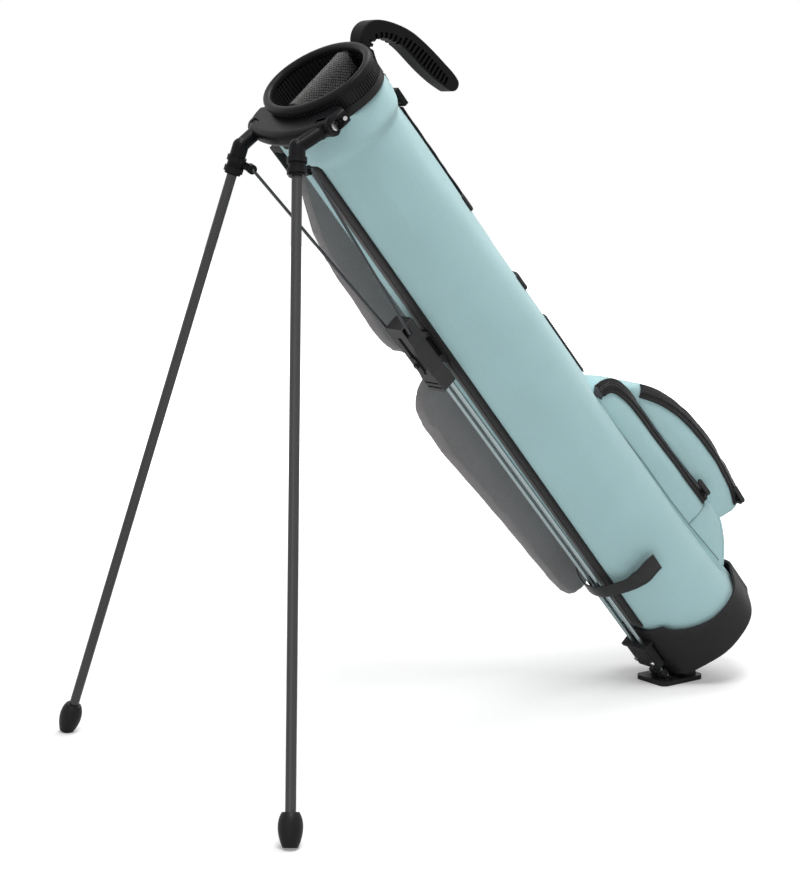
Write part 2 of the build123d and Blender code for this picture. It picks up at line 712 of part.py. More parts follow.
RAIL_FRONT = BRIDGE_FRONT - 0.6
with BuildPart() as slide_rail:
    with BuildSketch(Plane.XZ):
        with BuildLine():
            Polyline(
                (front_at(RAIL_LOW - 10) - SPINE_THICK, RAIL_LOW - 10),
                (front_at(RAIL_TOP + 10) - SPINE_THICK, RAIL_TOP + 10),
                (front_at(RAIL_TOP + 10) - SPINE_THICK - 2, RAIL_TOP + 10),
                (front_at(RAIL_LOW - 10) - SPINE_THICK - 2, RAIL_LOW - 10),
                close=True,
            )
        make_face()
    extrude(amount=9, both=True)
    with BuildSketch(Plane.XZ):
        with BuildLine():
            Polyline(
                (front_at(RAIL_LOW) - SPINE_THICK - 1, RAIL_LOW),
                (front_at(RAIL_TOP) - SPINE_THICK - 1, RAIL_TOP),
                (RAIL_FRONT, RAIL_TOP),
                (RAIL_FRONT, RAIL_LOW),
                close=True,
            )
        make_face()
    extrude(amount=RAIL_HALF, both=True)
save(slide_rail, "slide_rail")

with BuildPart() as rail_cap:
    with BuildSketch(Plane.YZ.offset(RAIL_FRONT)):
        with Locations((0, (RAIL_LOW + RAIL_TOP) / 2)):
            SlotOverall(RAIL_TOP - RAIL_LOW, 10, rotation=90)
    extrude(amount=-1.8)
    with Locations(Location((RAIL_FRONT - 2.6, 0, (RAIL_LOW + RAIL_TOP) / 2), (0, 90, 0))):
        Cylinder(3, 2)
save(rail_cap, "rail_cap")

# ---- actuator at the base -----------------------------------------------------------------
GUIDE_LOW, GUIDE_TOP = 24.0, 60.0
with BuildPart() as rod_guide:
    with Locations((ROD_X - 0.5, 0, (GUIDE_LOW + GUIDE_TOP) / 2)):
        Box(12, 34, GUIDE_TOP - GUIDE_LOW)
    fillet(rod_guide.edges().filter_by(Axis.Z), 3)
    with Locations((ROD_X - 0.5, 0, GUIDE_TOP - 2)):
        Box(14.5, 37, 4)
    for y in (-ROD_Y, ROD_Y):
        with Locations((ROD_X, y, (GUIDE_LOW + GUIDE_TOP) / 2)):
            Cylinder(ROD_RADIUS + RUN, 80, mode=Mode.SUBTRACT)
    with BuildSketch(Plane.XY):
        add(cup_section())
    extrude(amount=90, mode=Mode.SUBTRACT)
save(rod_guide, "rod_guide")

with BuildPart() as guide_screws:
    for y in (-12.5, 12.5):
        with Locations(Location((ROD_X - 7.4, y, 34), (0, 90, 0))):
            Cylinder(2.6, 1.8)
save(guide_screws, "guide_screws")

LEVER_UP = LEVER_ANGLE - LEAN
PIN_SPOT = (-LEVER * cos(radians(LEVER_UP)), LEVER * sin(radians(LEVER_UP)))
with BuildPart() as foot_plate:
    with BuildSketch(GROUND):
        with Locations((-17, 0)):
            RectangleRounded(62, 46, 8)
    extrude(amount=PLATE_THICK)
    with BuildSketch(Plane(origin=FOOT.origin, x_dir=FOOT.x_dir, z_dir=-FOOT.y_dir)):
        with BuildLine():
            Polyline(
                (-5, 0),
                (5, 0),
                (8, -HINGE_HEIGHT + PLATE_THICK - 1),
                (-8, -HINGE_HEIGHT + PLATE_THICK - 1),
                close=True,
            )
        make_face()
        Circle(5)
    extrude(amount=HINGE_HALF, both=True)
    with BuildSketch(Plane(origin=FOOT.origin, x_dir=FOOT.x_dir, z_dir=-FOOT.y_dir)):
        with Locations(PIN_SPOT):
            Circle(3.4)
        with Locations((PIN_SPOT[0], PIN_SPOT[1] - 2.4)):
            Rectangle(7.6, 4.8)
    extrude(amount=3.9, both=True)
    with Locations(HINGE):
        Cylinder(PIN_RADIUS, 80, rotation=(90, 0, 0), mode=Mode.SUBTRACT)
    with Locations(ROD_END):
        Cylinder(1.5, 80, rotation=(90, 0, 0), mode=Mode.SUBTRACT)
    with BuildPart(mode=Mode.SUBTRACT):
        for y in (-ROD_Y - 1.5, ROD_Y + 1.5):
            cheek = Plane(origin=ROD_END + Vector(0, y, 0), x_dir=LEVEL, z_dir=UPRIGHT)
            with Locations(cheek):
                Box(15, 8.6, 16)
save(foot_plate, "foot_plate")

with BuildPart() as hinge_pin:
    with Locations(HINGE):
        Cylinder(PIN_RADIUS - RUN, 2 * HINGE_HALF + 13, rotation=(90, 0, 0))
    for y in (-HINGE_HALF - 7.4, HINGE_HALF + 7.4):
        with Locations((HINGE.X, y, HINGE.Z)):
            Cylinder(4.6, 2.0, rotation=(90, 0, 0))
save(hinge_pin, "hinge_pin")

with BuildPart() as lever_pin:
    with Locations(ROD_END):
        Cylinder(1.5, 2 * ROD_Y + 5, rotation=(90, 0, 0))
save(lever_pin, "lever_pin")

# ---- pockets ------------------------------------------------------------------------------
MAIN_HALF, OUTER_HALF = 46.0, 43.0
MAIN_EDGE = ((66, 334), (76, 141), (74, 54))
OUTER_FACE = ((92, 300), (116, 246), (121, 190), (113, 96), (98, 62))
TAPE = 1.2

with BuildPart() as tube_room:
    for z in (TUBE_LOW - 1, TUBE_MID, TUBE_TOP):
        with BuildSketch(Plane.XY.offset(z)):
            add(tube_section(z, -SEAT))
    loft(ruled=True)

with BuildPart() as ball_pocket:
    with BuildSketch(Plane.XZ):
        with BuildLine():
            Polyline((20, 352), (48, 352), *MAIN_EDGE, (50, 49), (20, 49), close=True)
        make_face()
    extrude(amount=MAIN_HALF, both=True)
    add(tube_room.part, mode=Mode.SUBTRACT)
save(ball_pocket, "ball_pocket")

with BuildPart() as outer_pocket:
    with BuildSketch(Plane.XZ):
        with BuildLine():
            Polyline(*MAIN_EDGE, *reversed(OUTER_FACE), close=True)
        make_face()
    extrude(amount=OUTER_HALF, both=True)
save(outer_pocket, "outer_pocket")

ZIPS = {
    "main": ((63, 322), (71, 148), -MAIN_HALF),
    "outer": ((108, 240), (103, 100), -OUTER_HALF),
}
for name, (start, end, y) in ZIPS.items():
    run = Vector(end[0] - start[0], 0, end[1] - start[1])
    middle = Vector((start[0] + end[0]) / 2, y, (start[1] + end[1]) / 2)
    with BuildPart() as tape:
        with Locations(Plane(origin=middle, x_dir=run.normalized(), z_dir=(0, -1, 0))):
            Box(run.length, 9, TAPE, align=(Align.CENTER, Align.CENTER, Align.MIN))
    save(tape, f"zip_tape_{name}")
    low_end = Vector(end[0], y - TAPE - 0.05, end[1]) - run.normalized() * 8
    with BuildPart() as slider:
        with BuildSketch(Plane(origin=low_end, x_dir=run.normalized(), z_dir=(0, -1, 0))):
            RectangleRounded(11, 8, 2.5)
        extrude(amount=3.2)
        hump = low_end + Vector(0, -3.2, 0)
        with BuildSketch(Plane(origin=hump, x_dir=run.normalized(), z_dir=(0, -1, 0))):
            RectangleRounded(6, 3, 1.2)
        extrude(amount=1.6)
        tab = low_end + Vector(0, -4.8, 0) - run.normalized() * 8
        with BuildSketch(Plane(origin=tab, x_dir=run.normalized(), z_dir=(0, -1, 0))):
            SlotOverall(24, 5)
        extrude(amount=1.4)
    save(slider, f"zip_slider_{name}")

with BuildPart() as back_zip:
    for z in (356, 440):
        with BuildSketch(Plane.XY.offset(z)):
            with Locations((back_at(z) - 3, -17)):
                Rectangle(9, 9)
    loft(ruled=True)
    add(tube_room.part, mode=Mode.SUBTRACT)
save(back_zip, "zip_tape_back")

# ---- shoulder strap -----------------------------------------------------------------------
PAD_NEAR, PAD_THICK_SOFT = 66.0, 13.0
pads = {}
PAD_SHAPES = {
    "upper": ((-22, 706), (-48, 700), (-77, 640), (-79, 560), (-77, 506), (-62, 474), (-24, 482)),
    "lower": ((-24, 452), (-64, 446), (-94, 430), (-101, 369), (-88, 140), (-64, 104), (-24, 112)),
}
for name, points in PAD_SHAPES.items():
    with BuildPart() as pad:
        with BuildSketch(Plane.XZ.offset(-PAD_NEAR - PAD_THICK_SOFT)) as outline:
            with BuildLine():
                Polyline(*points, close=True)
            make_face()
            fillet(outline.vertices(), 9)
        extrude(amount=PAD_THICK_SOFT)
        fillet(pad.faces().sort_by(Axis.Y)[0].edges(), 3)
        fillet(pad.faces().sort_by(Axis.Y)[-1].edges(), 3)
    pads[name] = pad.part
    save(pad, f"strap_pad_{name}")

WEB, WEB_X, WEB_WIDE = 2.0, -36.0, 20.0
with BuildPart() as strap_webbing:
    for low, high in ((700, 739.5), (440, 490), (22, 118)):
        with Locations((WEB_X, PAD_NEAR + 5, (low + high) / 2)):
            Box(WEB_WIDE, WEB, high - low)
    for pad in pads.values():
        add(pad, mode=Mode.SUBTRACT)
save(strap_webbing, "strap_webbing")

with BuildPart() as strap_anchors:
    for z in (26, 736):
        with Locations((WEB_X, PAD_NEAR + 4 - 15, z)):
            Box(WEB_WIDE, 30, 7)
    with BuildSketch():
        add(cup_section())
    extrude(amount=76, mode=Mode.SUBTRACT)
    with BuildSketch(Plane.XY.offset(COLLAR_LOW - 8)):
        add(collar_section())
    extrude(amount=40, mode=Mode.SUBTRACT)
    add(yoke.part, mode=Mode.SUBTRACT)
save(strap_anchors, "strap_anchors")


# ---- strips and tabs sewn round the tube --------------------------------------------------
def jacket(thick):
    """A layer of even thickness lying on the tube, from which sewn strips are cut."""
    with BuildPart() as layer:
        for z in (TUBE_LOW - 1, TUBE_MID, TUBE_TOP):
            with BuildSketch(Plane.XY.offset(z)):
                add(tube_section(z, -thick))
        loft(ruled=True)
        add(tube_room.part, mode=Mode.SUBTRACT)
    return layer.part


THIN_LAYER, THICK_LAYER = jacket(1.6), jacket(3.0)


def save_strips(name, layer, boxes):
    with BuildPart() as strips:
        for low, high in boxes:
            size = [b - a for a, b in zip(low, high)]
            with Locations(tuple((a + b) / 2 for a, b in zip(low, high))):
                Box(*size)
        add(layer, mode=Mode.INTERSECT)
    save(strips, name)


save_strips("back_webbing", THIN_LAYER, [((10, -27, 603.1), (70, -13, 712))])
save_strips("back_tabs", THICK_LAYER, [((10, -29, z), (70, -11, z + 18)) for z in (480, 585)])
save_strips("strap_patch", THICK_LAYER, [((-46, -80, 139), (-22, 0, 164))])

with BuildPart() as ladder_buckle:
    with Locations((45.0, -20, 722)):
        Box(5, 22, 18)
        Box(9, 15, 3.2, mode=Mode.SUBTRACT)
    with Locations((45.0, -20, 716.5), (45.0, -20, 727.5)):
        Box(9, 15, 2.4, mode=Mode.SUBTRACT)
    add(tube_room.part, mode=Mode.SUBTRACT)
save(ladder_buckle, "ladder_buckle")

LEG_STRAP = (
    (-30, -59.3),
    (-46, -53.5),
    (-62, -40),
    (-76, -22),
    (-82, -8),
    (-82, 8),
    (-76, 22),
    (-62, 40),
    (-46, 53),
    (-34, 57.2),
)
with BuildPart() as leg_strap:
    with BuildSketch(Plane.XY.offset(143)):
        with BuildLine() as strap_path:
            Polyline(*LEG_STRAP)
        trace(strap_path.line, 1.8)
    extrude(amount=17)
    add(tube_room.part, mode=Mode.SUBTRACT)
    with BuildPart(mode=Mode.SUBTRACT):
        with Locations((-34, -70, 151.5)):
            Box(24, 40, 30)
        add(THICK_LAYER, mode=Mode.INTERSECT)
save(leg_strap, "leg_strap")

with BuildPart() as label_tab:
    with Locations((56, -MAIN_HALF, 338)):
        Box(13, 1.2, 18, align=(Align.CENTER, Align.MAX, Align.CENTER))
    with BuildSketch(Plane.XZ):
        with BuildLine():
            Polyline((20, 352), (48, 352), *MAIN_EDGE, (50, 49), (20, 49), close=True)
        make_face()
    extrude(amount=100, both=True, mode=Mode.INTERSECT)
save(label_tab, "label_tab")
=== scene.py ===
import math

import bmesh
import bpy
import numpy as np
from mathutils import Matrix, Vector, noise
from mathutils.bvhtree import BVHTree

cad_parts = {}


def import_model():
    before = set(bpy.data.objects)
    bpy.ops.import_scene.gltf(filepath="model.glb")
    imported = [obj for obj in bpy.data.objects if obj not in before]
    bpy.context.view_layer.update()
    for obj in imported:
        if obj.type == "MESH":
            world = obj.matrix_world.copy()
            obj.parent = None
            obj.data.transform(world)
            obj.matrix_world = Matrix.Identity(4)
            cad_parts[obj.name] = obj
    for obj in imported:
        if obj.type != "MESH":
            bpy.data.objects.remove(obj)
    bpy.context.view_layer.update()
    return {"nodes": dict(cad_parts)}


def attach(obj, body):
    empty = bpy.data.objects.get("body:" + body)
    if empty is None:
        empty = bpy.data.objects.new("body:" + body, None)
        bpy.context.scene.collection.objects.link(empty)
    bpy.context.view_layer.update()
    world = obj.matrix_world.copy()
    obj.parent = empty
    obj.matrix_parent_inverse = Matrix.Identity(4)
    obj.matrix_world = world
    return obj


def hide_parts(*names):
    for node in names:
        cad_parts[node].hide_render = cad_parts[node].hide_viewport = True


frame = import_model()
NODES = frame["nodes"]

# ---- the bag's own upright frame ------------------------------------------------------------
# Soft pieces are drawn in millimetres with +Z up the tube, +X to the back, -X to the legs and
# +Y to the far side, and BAG leans them onto the CAD model, in metres.
MM = 0.001
LEAN = math.radians(41.3)
TUBE_FOOT = (0.3224, 0, 0.054)
BAG = Matrix.Translation(TUBE_FOOT) @ Matrix.Rotation(-LEAN, 4, "Y") @ Matrix.Scale(MM, 4)
TO_BAG = BAG.inverted()


def V(*p):
    return Vector(p)


# ---- materials ------------------------------------------------------------------------------
class Paint:
    """A material's node tree with short calls for adding and joining nodes."""

    def __init__(self, name):
        self.mat = bpy.data.materials.new(name)
        self.mat.use_nodes = True
        self.tree = self.mat.node_tree
        self.bsdf = self.tree.nodes["Principled BSDF"]
        self.coord = None

    def node(self, kind, **values):
        n = self.tree.nodes.new("ShaderNode" + kind)
        for key, value in values.items():
            if hasattr(n, key):
                setattr(n, key, value)
            else:
                n.inputs[key].default_value = value
        return n

    def link(self, a, b):
        self.tree.links.new(a, b)

    def place(self, uv=False, turn=(0, 0, 0)):
        coord = self.node("TexCoord")
        mapping = self.node("Mapping")
        self.link(coord.outputs["UV" if uv else "Object"], mapping.inputs["Vector"])
        mapping.inputs["Rotation"].default_value = turn
        self.coord = mapping.outputs["Vector"]
        return self.coord

    def noise(self, scale, detail=2.0, rough=0.5, stretch=None):
        n = self.node("TexNoise", Scale=scale, Detail=detail, Roughness=rough)
        vector = self.coord
        if stretch:
            m = self.node("Mapping")
            m.inputs["Scale"].default_value = stretch
            self.link(vector, m.inputs["Vector"])
            vector = m.outputs["Vector"]
        self.link(vector, n.inputs["Vector"])
        return n.outputs["Fac"]

    def wave(self, period, axis, distort=0.0, turn=None):
        n = self.node("TexWave", bands_direction=axis)
        n.inputs["Scale"].default_value = 2 * math.pi / 20 / period  # 20 is the node's own factor
        n.inputs["Distortion"].default_value = distort
        vector = self.coord
        if turn:
            m = self.node("Mapping")
            m.inputs["Rotation"].default_value = turn
            self.link(vector, m.inputs["Vector"])
            vector = m.outputs["Vector"]
        self.link(vector, n.inputs["Vector"])
        return n.outputs["Fac"]

    def math(self, op, a, b=0):
        n = self.node("Math", operation=op)
        for socket, value in zip(n.inputs, (a, b)):
            if isinstance(value, (int, float)):
                socket.default_value = value
            else:
                self.link(value, socket)
        return n.outputs[0]

    def ramp(self, fac, stops):
        n = self.node("ValToRGB")
        while len(n.color_ramp.elements) < len(stops):
            n.color_ramp.elements.new(0.5)
        for element, (spot, colour) in zip(n.color_ramp.elements, stops):
            element.position = spot
            element.color = (*colour, 1) if len(colour) == 3 else colour
        self.link(fac, n.inputs["Fac"])
        return n.outputs["Color"]

    def remap(self, fac, low, high):
        n = self.node("MapRange")
        n.inputs["To Min"].default_value = low
        n.inputs["To Max"].default_value = high
        self.link(fac, n.inputs["Value"])
        return n.outputs["Result"]

    def mix(self, fac, a, b, blend="MIX"):
        n = self.node("Mix", data_type="RGBA", blend_type=blend)
        for socket, value in ((n.inputs["Factor"], fac), (n.inputs[6], a), (n.inputs[7], b)):
            if isinstance(value, (int, float)):
                socket.default_value = value
            elif isinstance(value, tuple):
                socket.default_value = (*value, 1)
            else:
                self.link(value, socket)
        return n.outputs[2]

    def bump(self, height, distance, strength=1.0, under=None):
        n = self.node("Bump", Strength=strength, Distance=distance)
        self.link(height, n.inputs["Height"])
        if under is not None:
            self.link(under, n.inputs["Normal"])
        return n.outputs["Normal"]

    def finish(self, colour=None, rough=None, normal=None, **values):
        if colour is not None:
            if isinstance(colour, tuple):
                self.bsdf.inputs["Base Color"].default_value = (*colour, 1)
            else:
                self.link(colour, self.bsdf.inputs["Base Color"])
        if rough is not None:
            if isinstance(rough, (int, float)):
                self.bsdf.inputs["Roughness"].default_value = rough
            else:
                self.link(rough, self.bsdf.inputs["Roughness"])
        if normal is not None:
            self.link(normal, self.bsdf.inputs["Normal"])
        for key, value in values.items():
            self.bsdf.inputs[key.replace("_", " ")].default_value = value
        return self.mat


BAG_TURN = (0, LEAN, 0)


def shade(colour, factor):
    return tuple(min(1.0, c * factor) for c in colour)


def cloth(name, colour, pitch=0.0009, uv=False, mottle=0.05, depth=0.00012, rough=0.8, sheen=0.25):
    """Plain woven cloth: two crossing threads, fine fibre noise and slow tone changes."""
    p = Paint(name)
    p.place(uv, (0, 0, 0) if uv else BAG_TURN)
    warp = p.wave(pitch, "X", 0.6)
    weft = p.wave(pitch, "Y" if uv else "Z", 0.6)
    weave = p.math("MULTIPLY", p.math("ADD", warp, 0.35), p.math("ADD", weft, 0.35))
    slow = p.noise(14, 3, 0.55)
    fibre = p.noise(700, 3, 0.6)
    tone = p.ramp(slow, [(0.3, shade(colour, 1 - mottle)), (0.7, shade(colour, 1 + mottle))])
    tone = p.mix(p.remap(fibre, 0.0, 0.5), tone, shade(colour, 0.82), "MULTIPLY")
    tone = p.mix(p.remap(weave, 0.25, 0.0), tone, shade(colour, 0.6))
    height = p.math("ADD", weave, p.math("MULTIPLY", fibre, 0.5))
    wrinkle = p.bump(p.noise(55, 4, 0.5), 0.0006, 0.35)
    normal = p.bump(height, depth, 0.7, wrinkle)
    return p.finish(
        tone, p.remap(fibre, rough - 0.07, rough + 0.07), normal,
        Sheen_Weight=sheen, Sheen_Roughness=0.5, Specular_IOR_Level=0.3,
    )


def webbing(name, colour, pitch=0.0016, rough=0.6, sheen=0.1):
    """Belt webbing, laid along U: ribs across and a herringbone."""
    p = Paint(name)
    p.place(True)
    ribs = p.wave(pitch, "X", 0.3)
    twill = p.wave(pitch * 1.1, "X", 0.2, (0, 0, math.radians(38)))
    fibre = p.noise(900, 2, 0.6)
    height = p.math("ADD", p.math("MULTIPLY", ribs, 0.6), p.math("MULTIPLY", twill, 0.6))
    tone = p.ramp(height, [(0.15, shade(colour, 0.55)), (0.75, shade(colour, 1.25))])
    tone = p.mix(p.remap(fibre, 0.0, 0.4), tone, shade(colour, 0.7), "MIX")
    normal = p.bump(p.math("ADD", height, p.math("MULTIPLY", fibre, 0.3)), 0.00022, 0.8)
    return p.finish(
        tone, p.remap(fibre, rough - 0.1, rough + 0.1), normal,
        Sheen_Weight=sheen, Specular_IOR_Level=0.4,
    )


def moulded(name, colour, rough=0.5, grain=0.00004, scale=2200, coat=0.0, edge_highlight=0.5, spec=0.18):
    """Injection-moulded plastic or rubber: fine spark grain, a painted highlight on sharp edges, dulled
    patches.
    """
    p = Paint(name)
    p.place(False)
    fine = p.noise(scale, 3, 0.6)
    broad = p.noise(40, 4, 0.6)
    geometry = p.node("NewGeometry")
    # Painted highlight: the colour is lightened along sharp convex edges, broken up by noise, where light
    # catches them.
    edge = p.ramp(geometry.outputs["Pointiness"], [(0.52, (0, 0, 0)), (0.62, (1, 1, 1))])
    edge = p.math("MULTIPLY", edge, p.remap(p.noise(300, 3, 0.6), 0.0, edge_highlight))
    tone = p.mix(p.remap(broad, 0.0, 0.6), shade(colour, 0.85), shade(colour, 1.25))
    tone = p.mix(edge, tone, tuple(0.02 + c * 1.6 for c in colour))
    normal = p.bump(fine, grain, 0.9)
    return p.finish(
        tone, p.remap(broad, rough - 0.08, rough + 0.1), normal,
        Coat_Weight=coat, Coat_Roughness=0.3, Specular_IOR_Level=spec,
    )


def metal(name, colour, rough=0.35, metallic=1.0, streak=(1, 1, 1), grain=0.00001):
    p = Paint(name)
    p.place(False, BAG_TURN)
    lines = p.noise(900, 2, 0.6, streak)
    broad = p.noise(30, 3, 0.6)
    tone = p.mix(p.remap(broad, 0.0, 0.5), shade(colour, 0.85), shade(colour, 1.15))
    tone = p.mix(p.remap(lines, 0.0, 0.3), tone, shade(colour, 0.7))
    return p.finish(
        tone, p.remap(lines, rough - 0.1, rough + 0.12), p.bump(lines, grain, 0.6),
        Metallic=metallic,
    )


TEAL = (0.455, 0.665, 0.685)
MAT = {
    "teal": cloth("teal_cloth", TEAL, 0.0011, True, 0.03, 0.00010),
    "teal_pocket": cloth("teal_pocket_cloth", TEAL, 0.0011, False, 0.03, 0.00010),
    # Painted shade: a darkened copy of the teal, for the seam cords and the gap between the front webbing and
    # the teal strip.
    "teal_shade": cloth("teal_seam_painted_shade", shade(TEAL, 0.55), 0.0011, False, 0.03),
    "teal_thread": cloth("teal_thread", shade(TEAL, 1.1), 0.0004, False, 0.03),
    "band": cloth("band_cloth", (0.011, 0.010, 0.0115), 0.0012, True, 0.1, 0.00014, 0.75, 0.1),
    "band_pocket": cloth("band_loose_cloth", (0.014, 0.013, 0.015), 0.0012, False, 0.1, 0.00014, 0.75, 0.1),
    "grey_web": webbing("grey_webbing", (0.075, 0.065, 0.065), 0.0016),
    "black_web": webbing("black_webbing", (0.009, 0.009, 0.010), 0.0016, 0.5, 0.03),
    "pad": cloth("pad_knit", (0.30, 0.285, 0.288), 0.0013, False, 0.06, 0.00016, 0.85, 0.3),
    "pad_edge": cloth("pad_binding", (0.12, 0.12, 0.125), 0.001, False, 0.05),
    "lining": cloth("divider_nylon", (0.03, 0.03, 0.032), 0.001, False, 0.1),
    "black_loose": cloth("black_tab_cloth", (0.012, 0.012, 0.013), 0.0012, False, 0.1, 0.00014, 0.6, 0.1),
    "strap_gloss": webbing("strap_glossy_webbing", (0.005, 0.005, 0.0055), 0.0016, 0.34, 0.0),
    "label": cloth("label_weave", (0.05, 0.055, 0.06), 0.0006, False, 0.05, 0.00006, 0.6, 0.1),
    "foam": moulded("closed_cell_foam", (0.06, 0.06, 0.06), 0.9, 0.0002, 900),
    "plastic": moulded("moulded_black", (0.009, 0.009, 0.0095), 0.45, 0.00004, 2000),
    "cup": moulded("cup_black", (0.014, 0.013, 0.014), 0.5, 0.00007, 1500),
    "satin": moulded("satin_black", (0.006, 0.006, 0.007), 0.34, 0.00002, 1800, 0.0, 0.3, 0.10),
    "lip": moulded("lip_rubber", (0.011, 0.011, 0.0115), 0.36, 0.00003, 1800, 0.0, 0.2, 0.08),
    "bridge": moulded("bridge_plastic", (0.030, 0.029, 0.030), 0.45, 0.00004, 1800),
    "grip": moulded("grip_rubber", (0.007, 0.007, 0.0075), 0.45, 0.00007, 1600, 0.0, 0.2, 0.08),
    "shoe": moulded("shoe_rubber", (0.007, 0.007, 0.007), 0.42, 0.00005, 1500),
    "stay": moulded("fibreglass", (0.45, 0.43, 0.36), 0.5, 0.00004, 1500),
    "leg": metal("leg_anodised", (0.068, 0.068, 0.070), 0.34, 0.85, (1, 1, 0.05)),
    "wire": metal("drawn_wire", (0.07, 0.075, 0.08), 0.28, 0.85, (1, 1, 0.05)),
    # Painted reflection: the push rods' zinc grey is tinted teal, the bag reflected in them.
    "rod": metal("zinc_rod_painted_teal_reflection", (0.42, 0.50, 0.51), 0.28, 0.9, (1, 1, 0.05)),
    "screw": metal("zinc_plate", (0.62, 0.62, 0.62), 0.25, 1.0),
    "zip_metal": metal("zip_enamel", (0.03, 0.03, 0.032), 0.25, 0.6),
    "tooth": moulded("zip_tooth", (0.014, 0.012, 0.013), 0.22, 0.00001, 1500, 0.4),
}


MESH_PITCH = 0.0036


def mesh_net():
    """Spacer mesh over foam: a raised diamond net of knitted yarn on a black ground."""
    p = Paint("spacer_mesh")
    p.place(False, BAG_TURN)
    split = p.node("SeparateXYZ")
    p.link(p.coord, split.inputs[0])
    x, y, z = split.outputs
    over = p.math("ADD", y, z)
    turn = 2 * math.pi / MESH_PITCH
    a = p.math("SINE", p.math("MULTIPLY", p.math("ADD", x, over), turn))
    b = p.math("SINE", p.math("MULTIPLY", p.math("SUBTRACT", x, over), turn))
    net = p.math("MAXIMUM", a, b)
    fibre = p.noise(1500, 2, 0.6)
    tone = p.ramp(net, [(0.55, (0.006, 0.006, 0.006)), (0.9, (0.06, 0.058, 0.056))])
    tone = p.mix(p.remap(fibre, 0.0, 0.5), tone, (0.02, 0.02, 0.02))
    return p.finish(tone, 0.7, p.bump(net, 0.0007, 1.0), Sheen_Weight=0.2)


MAT["mesh"] = mesh_net()

CAD_FINISH = {
    "plastic": ("collar", "ring_cuff", "divider_bar", "slide_rail", "rail_cap", "rod_guide", "foot_plate"),
    "cup": ("base_cup",),
    "lip": ("ring_lip",),
    "grip": ("handle",),
    "satin": ("leg_yoke", "leg_arm_near", "leg_arm_far", "ladder_buckle"),
    "bridge": ("push_bridge", "rod_clevis"),
    "leg": ("leg_tube_near", "leg_tube_far"),
    "shoe": ("leg_shoe_near", "leg_shoe_far"),
    "wire": ("push_wire_near", "push_wire_far"),
    "rod": ("push_rods",),
    "screw": (
        "handle_screws", "yoke_screws", "guide_screws", "pivot_pin_near", "pivot_pin_far",
        "hinge_pin", "lever_pin",
    ),
    "stay": ("side_stays",),
    "zip_metal": ("zip_slider_main", "zip_slider_outer"),
}
for key, names in CAD_FINISH.items():
    for name in names:
        slots = NODES[name].data.materials
        slots.clear()
        slots.append(MAT[key])


# ---- building meshes ------------------------------------------------------------------------
def build(name, points, faces, material, body="bag", uv=None, smooth=True):
    """A mesh object from points in the bag's frame, riding on a body."""
    mesh = bpy.data.meshes.new(name)
    mesh.from_pydata([BAG @ Vector(p) for p in points], [], faces)
    if uv is not None:
        layer = mesh.uv_layers.new(name="UVMap")
        for loop in mesh.loops:
            layer.data[loop.index].uv = uv[loop.vertex_index]
    mesh.materials.append(material)
    mesh.polygons.foreach_set("use_smooth", [smooth] * len(mesh.polygons))
    mesh.update()
    obj = bpy.data.objects.new(name, mesh)
    bpy.context.scene.collection.objects.link(obj)
    bm = bmesh.new()
    bm.from_mesh(mesh)
    bmesh.ops.recalc_face_normals(bm, faces=bm.faces)
    bm.to_mesh(mesh)
    bm.free()
    if body:
        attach(obj, body)
    return obj


def grid_faces(rows, columns, wrap=False):
    last = columns if wrap else columns - 1
    return [
        (
            r * columns + c,
            r * columns + (c + 1) % columns,
            (r + 1) * columns + (c + 1) % columns,
            (r + 1) * columns + c,
        )
        for r in range(rows - 1)
        for c in range(last)
    ]


def tree_of(*objects):
    """The surface of some objects, in the bag's frame, for laying things on it."""
    points, faces = [], []
    for obj in objects:
        first = len(points)
        points += [TO_BAG @ (obj.matrix_world @ v.co) for v in obj.data.vertices]
        faces += [tuple(first + i for i in p.vertices) for p in obj.data.polygons]
    return BVHTree.FromPolygons(points, faces)


def smooth_path(points, step=3.0):
    """Points closely spaced along a smooth line through the given ones."""
    p = [Vector(q) for q in points]
    ends = [2 * p[0] - p[1], *p, 2 * p[-1] - p[-2]]
    out = []
    for a, b, c, d in zip(ends, ends[1:], ends[2:], ends[3:]):
        count = max(2, int((c - b).length / step))
        for i in range(count):
            t = i / count
            out.append(
                0.5 * (2 * b + (c - a) * t + (2 * a - 5 * b + 4 * c - d) * t * t
                       + (3 * b - 3 * c + d - a) * t**3)
            )
    return out + [p[-1]]


def slab(width, thick, bevel, segments=2):
    """A flat rounded section, centred on its underside: (across, out) pairs."""
    corners = [(-1, 0), (1, 0), (1, 1), (-1, 1)]
    turn = {0: 180, 1: 270, 2: 0, 3: 90}
    out = []
    for i, (side, top) in enumerate(corners):
        cx = side * (width / 2 - bevel)
        cy = bevel if top == 0 else thick - bevel
        for k in range(segments + 1):
            angle = math.radians(turn[i] + 90 * k / segments)
            out.append((cx + bevel * math.cos(angle), cy + bevel * math.sin(angle)))
    return out


def sweep(name, path, normals, section, material, body="bag", taper=None):
    """A section swept along a path; across runs sideways and out follows the normals.

    taper gives the section's width, as a share, at each place from 0 to 1 along the path.
    """
    points, uv, n, run = [], [], len(section), 0.0
    for i, (spot, normal) in enumerate(zip(path, normals)):
        along = (path[min(i + 1, len(path) - 1)] - path[max(i - 1, 0)]).normalized()
        out = (normal - along * normal.dot(along)).normalized()
        side = along.cross(out)
        size = taper(i / (len(path) - 1)) if taper else 1.0
        run += (spot - path[i - 1]).length if i else 0.0
        for a, o in section:
            points.append(spot + side * a * size + out * o)
            uv.append((run / 1000, a / 1000))
    rows = len(path)
    faces = grid_faces(rows, n, True)
    faces += [tuple(range(n)), tuple(range((rows - 1) * n, rows * n))]
    return build(name, points, faces, material, body, uv)


